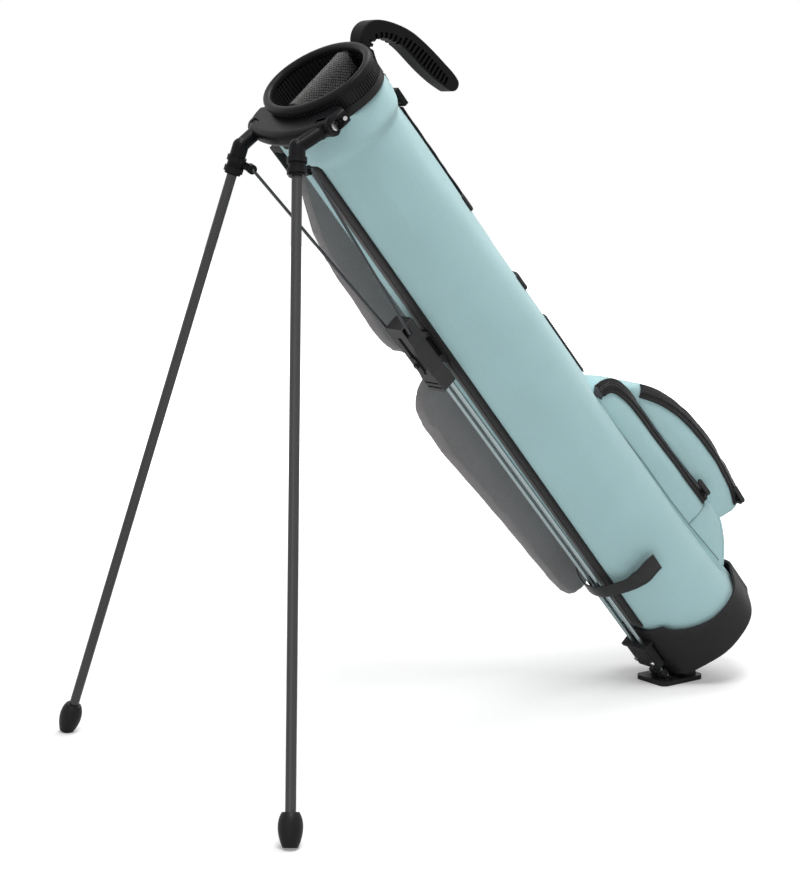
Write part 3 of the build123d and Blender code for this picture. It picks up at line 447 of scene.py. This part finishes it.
def round_section(radius, sides=8):
    return [
        (radius * math.cos(2 * math.pi * i / sides), radius * math.sin(2 * math.pi * i / sides))
        for i in range(sides)
    ]


# A stitch's rings: place along its half length, rise above the cloth and share of its radius.
STITCH_RINGS = ((-1, -0.15, 0.5), (-0.5, 0.16, 1), (0.5, 0.16, 1), (1, -0.15, 0.5))


def stitches(name, path, normals, offset, material, pitch=3.2, length=2.1, radius=0.28, lift=0.0):
    """A row of separate thread stitches beside a path, each a bowed capsule."""
    points, faces, run, due = [], [], 0.0, pitch / 2
    for a, b, na in zip(path, path[1:], normals):
        step = (b - a).length
        along = (b - a).normalized()
        out = (na - along * na.dot(along)).normalized()
        side = along.cross(out)
        while due <= run + step:
            mid = a + along * (due - run) + side * offset + out * lift
            first = len(points)
            for t, rise, size in STITCH_RINGS:
                for j in range(6):
                    angle = math.pi * j / 3
                    r = radius * size
                    points.append(
                        mid + along * t * length / 2 + side * math.cos(angle) * r
                        + out * (math.sin(angle) * r + rise)
                    )
            for k in range(3):
                for j in range(6):
                    faces.append((
                        first + k * 6 + j, first + k * 6 + (j + 1) % 6,
                        first + (k + 1) * 6 + (j + 1) % 6, first + (k + 1) * 6 + j,
                    ))
            faces.append(tuple(first + j for j in range(6)))
            faces.append(tuple(first + 18 + j for j in range(6)))
            due += pitch
        run += step
    return build(name, points, faces, material)


# ---- tube -----------------------------------------------------------------------------------
SHELL = tree_of(NODES["side_panel_near"], NODES["side_panel_far"])
COLLAR = tree_of(NODES["collar"])
TUBE_LOW, TUBE_TOP = 8.0, 742.0
COLLAR_LOW, COLLAR_TOP = 735.0, 759.0
CLOTH_TOP = 759.2
FLARE_LOW, FLARE_LONG = 722.0, 12.0
COLLAR_LIFT = 0.9


def on_tube(angle, z, lift=0.0):
    """Point and outward normal where a level ray at an angle meets the tube's outside."""
    way = V(math.cos(angle + 1e-3), math.sin(angle + 1e-3), 0)

    def meet(surface, level):
        spot, normal, _, _ = surface.ray_cast(V(0, 0, level) + way * 200, -way)
        return spot, normal if normal.dot(way) > 0 else -normal

    spot, normal = meet(SHELL, min(max(z, TUBE_LOW + 0.5), TUBE_TOP - 0.5))
    if z > FLARE_LOW:  # above the tube's top the cloth spreads over the collar
        over, flare = meet(COLLAR, min(max(z, COLLAR_LOW), COLLAR_TOP))
        share = min(1.0, (z - FLARE_LOW) / FLARE_LONG)
        share = share * share * (3 - 2 * share)
        spot = spot.lerp(over + way * COLLAR_LIFT, share)
        normal = normal.lerp(flare, share).normalized()
        spot.z = min(z, CLOTH_TOP)
    return spot + normal * lift, normal


# Pleats below the collar: angle round the tube, width and depth (mm, out), and lean in degrees/mm.
PLEATS = (
    (214, 9, -1.3, 0.05), (232, 8, 1.0, -0.02), (250, 11, -0.9, 0.03), (272, 13, 0.7, 0.0),
    (292, 9, -0.8, -0.04), (312, 10, 0.6, 0.02), (60, 12, -0.9, 0.02), (100, 14, 0.8, 0.0),
    (130, 10, -0.9, 0.0),
)
PLEAT_DEPTH = 1.7


def fold(angle, z):
    """How far the cloth stands in or out: long soft pleats from the collar and slow sags."""
    turn = math.degrees(angle) % 360
    top = max(0.0, min(1.0, (z - 420) / 300))
    out = 0.0
    for centre, width, depth, tilt in PLEATS:
        away = (turn - centre - tilt * (z - 700)) / width
        out += PLEAT_DEPTH * depth * math.exp(-away * away) * top * top
    wide = noise.noise(V(math.cos(angle) * 1.3, math.sin(angle) * 1.3, z / 160))
    fine = noise.noise(V(math.cos(angle) * 4 + 9, math.sin(angle) * 4, z / 70))
    out += 1.0 * wide + 0.35 * fine
    out *= min(1.0, max(0.0, (z - 60) / 60)) * min(1.0, max(0.0, (716 - z) / 45))
    return out


def tube_panel():
    """The bag's outer cloth, from the cup over the collar."""
    rows, columns = 230, 200
    thickness = 1.6
    points, uv = [], []
    for r in range(rows):
        z = TUBE_LOW + (CLOTH_TOP - TUBE_LOW) * r / (rows - 1)
        ring, girth, last = [], 0.0, None
        for c in range(columns):
            angle = 2 * math.pi * c / (columns - 1)
            spot, normal = on_tube(angle, z)
            front = max(0.0, min(1.0, (spot.x + 52) / 8))
            spot = V(spot.x, spot.y, z) + normal * (fold(angle, z) * front - 0.15)
            girth += (spot - last).length if last else 0.0
            last = spot
            ring.append(spot)
            uv.append((girth / 1000, z / 1000))
        points += ring
    faces = grid_faces(rows, columns)
    obj = build("tube_panel", points, faces, MAT["teal"], "bag", uv)
    solid = obj.modifiers.new("cloth_thickness", "SOLIDIFY")
    solid.thickness = thickness * MM
    solid.offset = -1
    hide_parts("side_panel_near", "side_panel_far")
    return obj


tube_panel()


# ---- strips along the front -----------------------------------------------------------------
FRONT_LOW, FRONT_TOP = -66.0, -57.0  # the tube's front, x at its low and top ends
STRIP_LOW, STRIP_TOP = 80, 730


def front_line(y, low, high, lift):
    """A line up the front of the tube at one Y, slightly wavy, with its normals."""
    path, normals = [], []
    count = int((high - low) / 8)
    for i in range(count + 1):
        z = low + (high - low) * i / count
        share = (z - TUBE_LOW) / (TUBE_TOP - TUBE_LOW)
        x = FRONT_LOW + (FRONT_TOP - FRONT_LOW) * share - lift + 0.25 * noise.noise(V(y * 0.3, 0, z / 60))
        path.append(V(x, y, z))
        normals.append(V(-1, 0, 0))
    return path, normals


def front_piece(name, node, y, width, thick, material):
    path, normals = front_line(y, STRIP_LOW, STRIP_TOP, 0.0)
    obj = sweep(name, path, normals, slab(width, thick, min(thick * 0.45, 0.9)), material)
    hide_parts(node)
    return obj


front_piece("front_band_cloth", "front_band", -9.3, 12.3, 2.6, MAT["band"])
front_piece("front_web", "front_webbing", 0.5, 6.9, 2.7, MAT["grey_web"])
front_piece("front_teal_strip", "front_strip", 9.8, 11.4, 2.6, MAT["teal"])
for name, y, key in (("near", -13.9, "band_pocket"), ("far", 14.6, "teal_thread")):
    path, normals = front_line(y, STRIP_LOW + 2, STRIP_TOP - 2, 2.6)
    stitches(f"front_stitches_{name}", path, normals, 0, MAT[key])
# Piping beside the webbing; the far one's darkened teal is painted shade in the gap next to the teal strip.
for name, y, key in (("near", -2.9, "band_pocket"), ("far", 4.0, "teal_shade")):
    path, normals = front_line(y, STRIP_LOW + 2, STRIP_TOP - 2, 2.2)
    sweep(f"front_piping_{name}", path, normals, round_section(0.8), MAT[key])


# ---- soft, stuffed pieces -------------------------------------------------------------------
def prism(name, outline, low, high, material, bevel=8.0, segments=4):
    """A closed block from an outline in the bag's XZ plane, between two Y values."""
    n = len(outline)
    points = [V(x, low, z) for x, z in outline] + [V(x, high, z) for x, z in outline]
    faces = [tuple(range(n)), tuple(range(2 * n - 1, n - 1, -1))]
    faces += [(i, (i + 1) % n, n + (i + 1) % n, n + i) for i in range(n)]
    obj = build(name, points, faces, material, None)
    round_off = obj.modifiers.new("round", "BEVEL")
    round_off.width = bevel * MM
    round_off.segments = segments
    round_off.limit_method = "ANGLE"
    round_off.angle_limit = math.radians(20)
    return obj


def apply_all(obj):
    """The object's mesh with its modifiers made final."""
    bpy.context.view_layer.update()
    depsgraph = bpy.context.evaluated_depsgraph_get()
    mesh = bpy.data.meshes.new_from_object(obj.evaluated_get(depsgraph))
    mesh.name = obj.name
    old = obj.data
    obj.modifiers.clear()
    obj.data = mesh
    bpy.data.meshes.remove(old)
    return obj


def remesh(obj, size):
    mod = obj.modifiers.new("even", "REMESH")
    mod.mode = "VOXEL"
    mod.voxel_size = size * MM
    mod.use_smooth_shade = True
    return apply_all(obj)


def inflate(obj, pressure, cap, pinned=None, frames=20):
    """Swells a closed skin as a stuffed pad does, by at most cap mm; pinned points stay."""
    rest = np.empty(len(obj.data.vertices) * 3)
    obj.data.vertices.foreach_get("co", rest)
    rest = rest.reshape(-1, 3)
    group = obj.vertex_groups.new(name="pin")
    for v in obj.data.vertices:
        weight = pinned(TO_BAG @ v.co) if pinned else 0.0
        if weight > 0:
            group.add([v.index], weight, "REPLACE")
    mod = obj.modifiers.new("stuffing", "CLOTH")
    s = mod.settings
    s.quality = 6
    s.mass = 0.3
    s.tension_stiffness = 15
    s.compression_stiffness = 15
    s.bending_stiffness = 0.8
    s.use_pressure = True
    s.uniform_pressure_force = pressure
    s.effector_weights.gravity = 0
    if pinned:
        s.vertex_group_mass = "pin"
    mod.point_cache.frame_start = 1
    mod.point_cache.frame_end = frames
    for f in range(1, frames + 1):
        bpy.context.scene.frame_set(f)
    depsgraph = bpy.context.evaluated_depsgraph_get()
    shaped = obj.evaluated_get(depsgraph)
    moved = np.empty(len(shaped.data.vertices) * 3)
    shaped.data.vertices.foreach_get("co", moved)
    moved = moved.reshape(-1, 3)
    obj.modifiers.remove(mod)
    bpy.context.scene.frame_set(1)
    step = moved - rest
    far = np.linalg.norm(step, axis=1, keepdims=True)
    limit = cap * MM
    step *= np.where(far > limit, limit / np.maximum(far, 1e-9), 1.0)
    obj.data.vertices.foreach_set("co", (rest + step).ravel())
    obj.data.update()
    return obj


def relax(obj, rounds=2, factor=0.5):
    mod = obj.modifiers.new("relax", "SMOOTH")
    mod.iterations = rounds
    mod.factor = factor
    return apply_all(obj)


def subdivide(obj):
    mod = obj.modifiers.new("fine", "SUBSURF")
    mod.levels = 1
    mod.render_levels = 1
    return apply_all(obj)


def shift_points(obj, move):
    """Moves each point of a mesh by a function of its place and normal in the bag's frame."""
    mesh = obj.data
    turn = TO_BAG.to_3x3()
    normals = [(turn @ v.normal).normalized() for v in mesh.vertices]
    for v, normal in zip(mesh.vertices, normals):
        spot = TO_BAG @ v.co
        v.co = BAG @ (spot + move(spot, normal))
    mesh.update()
    return obj


PADS = {
    "upper": (
        (-24, 704), (-38, 702), (-47, 690), (-56, 667), (-66, 642), (-73, 615), (-75.5, 590), (-76, 560),
        (-77, 530), (-75, 505), (-70, 487), (-60, 475), (-44, 473), (-26, 480),
    ),
    "lower": (
        (-26, 450), (-48, 448), (-66, 444), (-80, 436), (-91, 424), (-97, 402), (-98, 372), (-96, 330),
        (-93, 280), (-90, 230), (-88, 180), (-86.5, 146), (-81, 124), (-72, 110), (-56, 104), (-26, 112),
    ),
}


def strap_pad(name, outline, seed):
    obj = prism(f"strap_pad_{name}_cloth", outline, 68.0, 77.0, MAT["pad"], 4.0)
    remesh(obj, 4.0)
    inflate(obj, 4.0, 5.0)
    relax(obj, 2)

    def crease(p, n):
        """Wide and fine creases, kept between the pad's two faces."""
        wide = noise.noise(V(p.x / 26, seed, p.z / 34))
        fine = noise.noise(V(p.x / 9, seed + 4, p.z / 22))
        pull = n * (0.9 * wide + 0.45 * fine)
        return V(pull.x, min(max(p.y + pull.y, 66.4), 78.9) - p.y, pull.z)

    shift_points(obj, crease)
    subdivide(obj)
    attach(obj, "bag")
    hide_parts(f"strap_pad_{name}")
    return obj


pads = {name: strap_pad(name, outline, i * 7.0) for i, (name, outline) in enumerate(PADS.items())}


def pad_seam(name, outline):
    """A stitched channel round the outer face of a strap pad, 10 mm inside its edge."""
    tree = tree_of(pads[name])
    n = len(outline)
    cx, cz = sum(x for x, _ in outline) / n, sum(z for _, z in outline) / n
    line = []
    for x, z in outline:
        line.append((x + (10 if x < cx else -10) * min(1.0, abs(x - cx) / 14), 84,
                     z + (10 if z < cz else -10) * min(1.0, abs(z - cz) / 50)))
    line.append(line[0])
    path, normals = [], []
    for p in smooth_path(line, 4.0):
        spot, normal, _, _ = tree.ray_cast(p, V(0, -1, 0))
        if spot is not None and spot.y > 70:
            path.append(spot + normal * 0.2)
            normals.append(normal)
    sweep(f"pad_{name}_seam", path, normals, round_section(0.7), MAT["pad_edge"])
    stitches(f"pad_{name}_seam_stitches", path, normals, 2.2, MAT["pad_edge"], 3.4, 2.3, 0.28, 0.2)


for name, outline in PADS.items():
    pad_seam(name, outline)


MAIN = (
    (26, 351), (44, 351), (56, 345), (64.5, 333), (68, 312), (70, 280), (73, 220), (75.5, 170), (77, 140),
    (76, 118), (72, 102), (63, 86), (52, 72), (40, 60), (26, 54),
)
OUTER = (
    (64, 322), (76, 314), (88, 301), (99, 282), (108, 259), (114.5, 234), (118.5, 205), (119.5, 178),
    (118.5, 150), (115, 122), (110, 104), (102, 96), (90, 98), (76, 104), (66, 110),
)


def at_tube(p):
    """1 where a pocket is sewn to the tube, fading out to 0 away from it."""
    spot, _ = on_tube(math.atan2(p.y, p.x), p.z)
    away = math.hypot(p.x, p.y) - math.hypot(spot.x, spot.y)
    return max(0.0, min(1.0, 1 - (away - 2) / 6))


def pocket(name, node, outline, half, edge, seed, pinned):
    obj = prism(f"{name}_cloth", outline, -half, half, MAT["teal_pocket"], edge, 5)
    remesh(obj, 4.5)
    inflate(obj, 3.0, 5.0, pinned)
    relax(obj, 3)

    def crease(p, n):
        """Wide and fine creases over the whole pocket."""
        wide = noise.noise(V(p.x / 30, p.y / 30 + seed, p.z / 60))
        fine = noise.noise(V(p.x / 11, p.y / 14 + seed, p.z / 24))
        return n * (1.1 * wide + 0.5 * fine)

    shift_points(obj, crease)
    subdivide(obj)
    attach(obj, "bag")
    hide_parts(node)
    return obj


main_pocket = pocket("ball_pocket", "ball_pocket", MAIN, 44.5, 9.0, 1.0, at_tube)
outer_pocket = pocket(
    "outer_pocket", "outer_pocket", OUTER, 41.5, 8.0, 5.0, lambda p: 1.0 if p.x < 72 else 0.0
)


# ---- zips -----------------------------------------------------------------------------------
def snapped(points, trees, lift=0.0, step=3.0, settle=3):
    """A smooth path laid on the nearest of some surfaces, with its outward normals."""
    path = smooth_path(points, step)
    spots, normals = [], []
    for p in path:
        best = min((t.find_nearest(p) for t in trees), key=lambda hit: hit[3])
        normal = best[1] if best[1].length else V(0, -1, 0)
        spots.append(best[0])
        normals.append(normal)
    for _ in range(settle):
        normals = [
            (normals[max(0, i - 1)] + n * 2 + normals[min(len(normals) - 1, i + 1)]).normalized()
            for i, n in enumerate(normals)
        ]
        spots = [spots[0]] + [
            (a + b * 2 + c) / 4 for a, b, c in zip(spots, spots[1:], spots[2:])
        ] + [spots[-1]]
    return [s + n * lift for s, n in zip(spots, normals)], normals


def zip_teeth(name, path, normals, pitch=2.6):
    """Two rows of small blocks that reach past each other along a path."""
    points, faces, run, due, flip = [], [], 0.0, 1.0, 1
    for a, b, na in zip(path, path[1:], normals):
        step = (b - a).length
        along = (b - a).normalized()
        out = (na - along * na.dot(along)).normalized()
        side = along.cross(out)
        while due <= run + step:
            mid = a + along * (due - run) + side * flip * 0.9
            first = len(points)
            for o, grow in ((0.0, 1.0), (0.9, 1.0), (1.35, 0.7)):
                for u, v in ((-0.62, -1.9), (0.62, -1.9), (0.62, 1.9), (-0.62, 1.9)):
                    points.append(mid + along * u * grow + side * v * grow + out * o)
            for k in range(2):
                for j in range(4):
                    faces.append((
                        first + k * 4 + j, first + k * 4 + (j + 1) % 4,
                        first + (k + 1) * 4 + (j + 1) % 4, first + (k + 1) * 4 + j,
                    ))
            faces.append(tuple(first + 8 + j for j in range(4)))
            due += pitch / 2
            flip = -flip
        run += step
    obj = build(name, points, faces, MAT["tooth"], smooth=False)
    return obj


def laid(name, node, path, normals, width, thick, trees, material):
    """A strip that hugs the surfaces under it: the cloth, and the lines along its two edges."""
    columns = 9
    points, uv, edges, run = [], [], ([], []), 0.0
    for i, (spot, normal) in enumerate(zip(path, normals)):
        along = (path[min(i + 1, len(path) - 1)] - path[max(i - 1, 0)]).normalized()
        side = along.cross(normal).normalized()
        run += (spot - path[i - 1]).length if i else 0.0
        row = []
        for k in range(columns):
            across = width * (k / (columns - 1) - 0.5)
            want = spot + side * across
            hit = min((t.find_nearest(want) for t in trees), key=lambda h: h[3])
            out = hit[1] if hit[1].dot(normal) > 0 else normal
            row.append((hit[0], out))
            uv.append((run / 1000, across / 1000))
        for k, (p, n) in enumerate(row):
            near = [row[m][1] for m in range(max(0, k - 2), min(columns, k + 3))]
            lean = sum(near, V(0, 0, 0)).normalized()
            points.append(p + lean * thick)
        edges[0].append((points[-columns + 1], row[1][1]))
        edges[1].append((points[-2], row[-2][1]))
    obj = build(name, points, grid_faces(len(path), columns), material, None, uv)
    relaxed = obj.modifiers.new("soften", "SMOOTH")
    relaxed.iterations = 3
    solid = obj.modifiers.new("thickness", "SOLIDIFY")
    solid.thickness = thick * 0.9 * MM
    solid.offset = 0
    apply_all(obj)
    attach(obj, "bag")
    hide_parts(node)
    return edges


def zip_run(name, node, points, trees, width=17.0):
    """A zip on a pocket: tape, teeth, and a cord and a row of stitches along both edges."""
    path, normals = snapped(points, trees, 0.0)
    edges = laid(f"{name}_tape_cloth", node, path, normals, width, 1.3, trees, MAT["band"])
    raised = [p + n * 1.7 for p, n in zip(path, normals)]
    zip_teeth(f"{name}_teeth", raised, normals)
    for label, edge in zip("ab", edges):
        spots = [p + n * 0.35 for p, n in edge]
        tilt = [n for _, n in edge]
        sweep(f"{name}_cord_{label}", spots, tilt, round_section(0.7), MAT["band_pocket"])
        side = 1 if label == "a" else -1
        stitches(f"{name}_stitch_{label}", spots, tilt, side * 2.2, MAT["zip_metal"], 3.0, 1.9, 0.22, 0.5)


POCKETS = [tree_of(main_pocket), tree_of(outer_pocket)]
ZIP_MAIN = (
    (36, -46, 344), (46, -46, 342), (54, -46, 334), (60, -46, 317), (63, -46, 299), (65, -46, 274),
    (66, -46, 245), (67, -46, 217), (67.5, -46, 183), (68, -46, 146),
)
ZIP_OUTER = (
    (77, -43, 303), (87, -43, 287), (95, -43, 271), (101.5, -43, 254), (107, -43, 231), (110, -43, 207),
    (111, -43, 178), (110, -43, 149), (106.5, -43, 122), (102, -43, 104),
)
zip_run("zip_main", "zip_tape_main", ZIP_MAIN, POCKETS[:1])
zip_run("zip_outer", "zip_tape_outer", ZIP_OUTER, POCKETS[1:])

# Piping round the main pocket's gusset, and the two seams on its near side; the seams' cords are a darkened
# teal, painted shade in their creases.
PIPING = ((72, -45, 142), (78, -45, 137), (77, -45, 118), (72, -45, 103), (61, -45, 85), (44, -45, 64))
SEAMS = (
    ((25, -46, 339), (30, -46, 252), (33, -46, 164), (40, -46, 78)),
    ((62, -46, 143), (48, -46, 142), (35, -46, 141.6)),
)
for label_side, flip in (("near", 1), ("far", -1)):
    path, normals = snapped([(x, y * flip, z) for x, y, z in PIPING], POCKETS[:1], 0.5)
    sweep(f"pocket_piping_{label_side}", path, normals, round_section(1.3), MAT["teal_pocket"])
    for index, line in enumerate(SEAMS):
        path, normals = snapped([(x, y * flip, z) for x, y, z in line], POCKETS[:1], 0.15)
        sweep(f"pocket_seam_{index}_{label_side}", path, normals, round_section(0.7), MAT["teal_shade"])
        stitches(f"pocket_seam_{index}_stitches_{label_side}", path, normals, 2.4, MAT["teal_thread"],
                 3.2, 2.1, 0.24, 0.1)


BACK_REACH = 44  # from the tube's axis to its back


def back_run(name, node, y, low, high, width, lift, thick, material, step=8):
    """A strip sewn up the back of the tube, and the line that it follows."""
    path, normals = [], []
    count = max(2, int((high - low) / step))
    for i in range(count + 1):
        z = low + (high - low) * i / count
        spot, normal = on_tube(math.atan2(y, BACK_REACH), z, lift)
        path.append(spot)
        normals.append(normal)
    obj = sweep(name, path, normals, slab(width, thick, thick * 0.4), material)
    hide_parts(node)
    return path, normals


path, normals = back_run(
    "zip_back_tape_cloth", "zip_tape_back", -17, 358, 438, 8, 0.8, 1.4, MAT["band"]
)
zip_teeth("zip_back_teeth", [p + n * 1.3 for p, n in zip(path, normals)], normals)
back_run(
    "back_web_cloth", "back_webbing", -20, 604, 711, 12, 0.5, 1.5, MAT["black_web"]
)


# ---- straps, tabs and lining ----------------------------------------------------------------
def soft_copy(node, voxel, material, crumple=0.25, rounds=2, grain=9.0):
    """A cloth piece in the room of a CAD solid: its edges softened and its faces slightly crumpled."""
    source = NODES[node]
    mesh = source.data.copy()
    mesh.transform(source.matrix_world)
    mesh.name = f"{node}_cloth"
    obj = bpy.data.objects.new(mesh.name, mesh)
    bpy.context.scene.collection.objects.link(obj)
    mesh.materials.clear()
    mesh.materials.append(material)
    remesh(obj, voxel)
    relax(obj, rounds)
    shift_points(obj, lambda p, n: n * crumple * noise.noise(p / grain))
    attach(obj, "bag")
    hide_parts(node)
    return obj


soft_copy("back_tabs", 0.8, MAT["black_loose"], 0.3)
soft_copy("strap_anchors", 1.0, MAT["black_loose"], 0.3)
soft_copy("divider_sleeve", 0.8, MAT["mesh"], 0.2)
soft_copy("floor_pad", 1.6, MAT["foam"], 0.4, 3, 14.0)


def label():
    """The blank woven label, folded over the pocket's edge beside the tube and stitched down."""
    path, normals = snapped(((31, -46, 352), (34, -46, 345), (37, -46, 337)), POCKETS[:1], 0.9, 1.5)
    edges = laid(
        "label_cloth", "label_tab", path, normals, 13.0, 1.0, POCKETS[:1], MAT["label"]
    )
    for side, edge in zip("ab", edges):
        stitches(f"label_stitch_{side}", [p + n * 0.5 for p, n in edge], [n for _, n in edge], 0,
                 MAT["band_pocket"], 2.4, 1.6, 0.2, 0.0)


label()


def strap_ends():
    """The webbing that runs from the anchors into the two pads, in three lengths."""
    runs = ((698, 739.0), (441, 489), (22.5, 117))
    for index, (low, high) in enumerate(runs):
        count = int((high - low) / 3)
        path = [
            V(-36, 70.0 + 0.4 * noise.noise(V(i * 0.21, index, 0)), low + (high - low) * i / count)
            for i in range(count + 1)
        ]
        ahead = [V(0, 1, 0)] * len(path)
        obj = sweep(f"strap_web_{index}", path, ahead, slab(20, 2.0, 0.7), MAT["black_web"])
        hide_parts("strap_webbing")


strap_ends()


# The leg strap's course round the front, from its end on the near side to the far side.
LEG_STRAP = (
    (-31, -61.2), (-35, -60.3), (-40, -58.2), (-50, -52.2), (-62, -41), (-75, -22.5), (-81, -8),
    (-81, 8), (-75, 22.5), (-62, 40.5), (-48, 52.5), (-36, 58.2),
)
STRAP_LEVEL, STRAP_RISE, STRAP_WIDE, STRAP_THICK = 151.5, 9.0, 16.4, 1.7
STRAP_TUCK = 1.6  # how far the front lies inside its course, so that the folded shoes clear it


def leg_strap():
    """One glossy band from its sewn, wider and rising end, round in front of the tube."""

    def level(x, y):
        rise = STRAP_RISE * min(1.0, max(0.0, (x + 60) / 22)) * (y < 0)
        return STRAP_LEVEL + rise + 0.3 * noise.noise(V(x / 30, y / 30, 3))

    path = smooth_path([(x, y, level(x, y)) for x, y in LEG_STRAP], 2.5)
    normals = []
    for i, spot in enumerate(path):
        along = (path[min(i + 1, len(path) - 1)] - path[max(i - 1, 0)]).normalized()
        out = along.cross(V(0, 0, 1))
        normals.append(out if out.dot(V(spot.x, spot.y, 0)) > 0 else -out)
    path = [
        p - n * STRAP_TUCK * min(1.0, max(0.0, (-50 - p.x) / 6)) for p, n in zip(path, normals)
    ]
    obj = sweep(
        "leg_strap_web", path, normals, slab(STRAP_WIDE, STRAP_THICK, 0.6), MAT["strap_gloss"],
        taper=lambda t: 1.0 + 0.3 * max(0.0, min(1.0, (0.24 - t) / 0.08)),
    )
    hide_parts("leg_strap", "strap_patch")
    for name, side in (("low", -6.6), ("high", 6.6)):
        stitches(
            f"leg_strap_stitches_{name}", path[:12], normals[:12], side * 1.3, MAT["band_pocket"],
            3.0, 2.0, 0.24, 1.75,
        )


leg_strap()


def divider_sheet():
    """The cloth that splits the tube, hung from the bar and sewn down the front and back."""
    rows, columns, points, uv = 90, 16, [], []
    low, high, thickness = TUBE_LOW + 0.5, 751.5, 1.0
    for r in range(rows):
        z = low + (high - low) * r / (rows - 1)
        share = max(0.0, min(1.0, (z - TUBE_LOW) / (TUBE_TOP - TUBE_LOW)))
        front = FRONT_LOW + (FRONT_TOP - FRONT_LOW) * share + 2.6
        # The tube's back draws in by 10 mm up to z 180 and by 3.5 mm above it.
        back = 57 - 10 * min(1.0, (z - 8) / 172) - max(0.0, (z - 180) / 562) * 3.5 - 5.8 + 3 * share
        if z > 744:  # inside the collar, below the bar
            front, back = max(front, -37.6), min(back, 37.6)
        for c in range(columns):
            t = c / (columns - 1)
            x = front + (back - front) * t
            sway = math.sin(math.pi * t) * min(1.0, (745 - z) / 60 if z < 745 else 0.0)
            y = sway * 0.25 * noise.noise(V(x / 30, 0, z / 90))
            points.append(V(x, y, z))
            uv.append((x / 1000, z / 1000))
    obj = build("divider_cloth", points, grid_faces(rows, columns), MAT["lining"], "bag", uv)
    solid = obj.modifiers.new("cloth_thickness", "SOLIDIFY")
    solid.thickness = thickness * MM
    solid.offset = 0
    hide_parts("divider_sheet")


divider_sheet()


# ---- floor, light and camera ----------------------------------------------------------------
FLOOR_SIZE, FLOOR_LEVEL = 14, -0.0005


def floor():
    """A pale floor that the camera sees as white, more so away from the middle."""
    bpy.ops.mesh.primitive_plane_add(size=FLOOR_SIZE, location=(0, 0, FLOOR_LEVEL))
    obj = bpy.context.object
    obj.name = "floor"
    p = Paint("pale_floor")
    path = p.node("LightPath")
    glow = p.node("Emission", Color=(1, 1, 1, 1))
    p.place(False)
    length = p.node("VectorMath", operation="LENGTH")
    p.link(p.coord, length.inputs[0])
    away = p.node("MapRange", interpolation_type="SMOOTHSTEP")
    for key, value in (("From Min", 0.55), ("From Max", 1.9), ("To Min", 0.24), ("To Max", 1.1)):
        away.inputs[key].default_value = value
    p.link(length.outputs["Value"], away.inputs["Value"])
    p.link(p.math("MULTIPLY", path.outputs["Is Camera Ray"], away.outputs["Result"]), glow.inputs["Strength"])
    diffuse = p.node("BsdfDiffuse", Color=(0.82, 0.82, 0.82, 1))
    both = p.node("AddShader")
    p.link(diffuse.outputs[0], both.inputs[0])
    p.link(glow.outputs[0], both.inputs[1])
    p.link(both.outputs[0], p.tree.nodes["Material Output"].inputs["Surface"])
    obj.data.materials.append(p.mat)


def world():
    """A soft even sky, white where the camera or a reflection sees it."""
    w = bpy.data.worlds.new("studio")
    w.use_nodes = True
    bpy.context.scene.world = w
    tree = w.node_tree
    back = tree.nodes["Background"]
    back.inputs["Color"].default_value = (1, 1, 1, 1)
    path = tree.nodes.new("ShaderNodeLightPath")
    seen = tree.nodes.new("ShaderNodeMath")
    seen.operation = "MAXIMUM"
    tree.links.new(path.outputs["Is Camera Ray"], seen.inputs[0])
    tree.links.new(path.outputs["Is Glossy Ray"], seen.inputs[1])
    level = tree.nodes.new("ShaderNodeMapRange")
    level.inputs["To Min"].default_value = 0.40
    level.inputs["To Max"].default_value = 1.0
    tree.links.new(seen.outputs[0], level.inputs["Value"])
    tree.links.new(level.outputs["Result"], back.inputs["Strength"])


def lamp(name, spot, target, size, energy, colour=(1, 1, 1)):
    data = bpy.data.lights.new(name, "AREA")
    data.shape = "DISK"
    data.size = size
    data.energy = energy
    data.color = colour
    obj = bpy.data.objects.new(name, data)
    obj.location = spot
    obj.rotation_euler = (Vector(target) - Vector(spot)).to_track_quat("-Z", "Y").to_euler()
    bpy.context.scene.collection.objects.link(obj)


PICTURE_WIDE, FOCAL_PIXELS, SENSOR = 800, 2007.1, 36.0
CAMERA_SPOT = (-1.5713 + TUBE_FOOT[0], -1.5482, 0.5985)
CAMERA_ANGLES = (35.64, 10.11, 0.22)  # turn from +Y towards +X, dip and roll


def camera():
    data = bpy.data.cameras.new("camera")
    data.sensor_fit = "HORIZONTAL"
    data.sensor_width = SENSOR
    data.lens = FOCAL_PIXELS / PICTURE_WIDE * SENSOR
    data.shift_x = 35.5 / PICTURE_WIDE
    data.shift_y = 45.0 / PICTURE_WIDE
    data.clip_end = 50
    turn, dip, roll = (math.radians(angle) for angle in CAMERA_ANGLES)
    way = Vector((math.sin(turn) * math.cos(dip), math.cos(turn) * math.cos(dip), -math.sin(dip)))
    right = way.cross(Vector((0, 0, 1))).normalized()
    up = right.cross(way)
    basis = Matrix((right, up, -way)).transposed()
    obj = bpy.data.objects.new("camera", data)
    obj.matrix_world = (
        Matrix.Translation(CAMERA_SPOT)
        @ basis.to_4x4()
        @ Matrix.Rotation(roll, 4, "Z")
    )
    bpy.context.scene.collection.objects.link(obj)
    bpy.context.scene.camera = obj


floor()
world()
lamp("key", (-0.6, -1.0, 2.9), (0.0, 0.0, 0.35), 1.3, 50)
lamp("top", (0.9, 0.3, 2.5), (0.0, 0.0, 0.3), 1.8, 30)
lamp("fill", (-2.2, -1.6, 0.9), (0.0, 0.0, 0.35), 1.6, 5)
camera()
bpy.context.scene.view_settings.view_transform = "Standard"
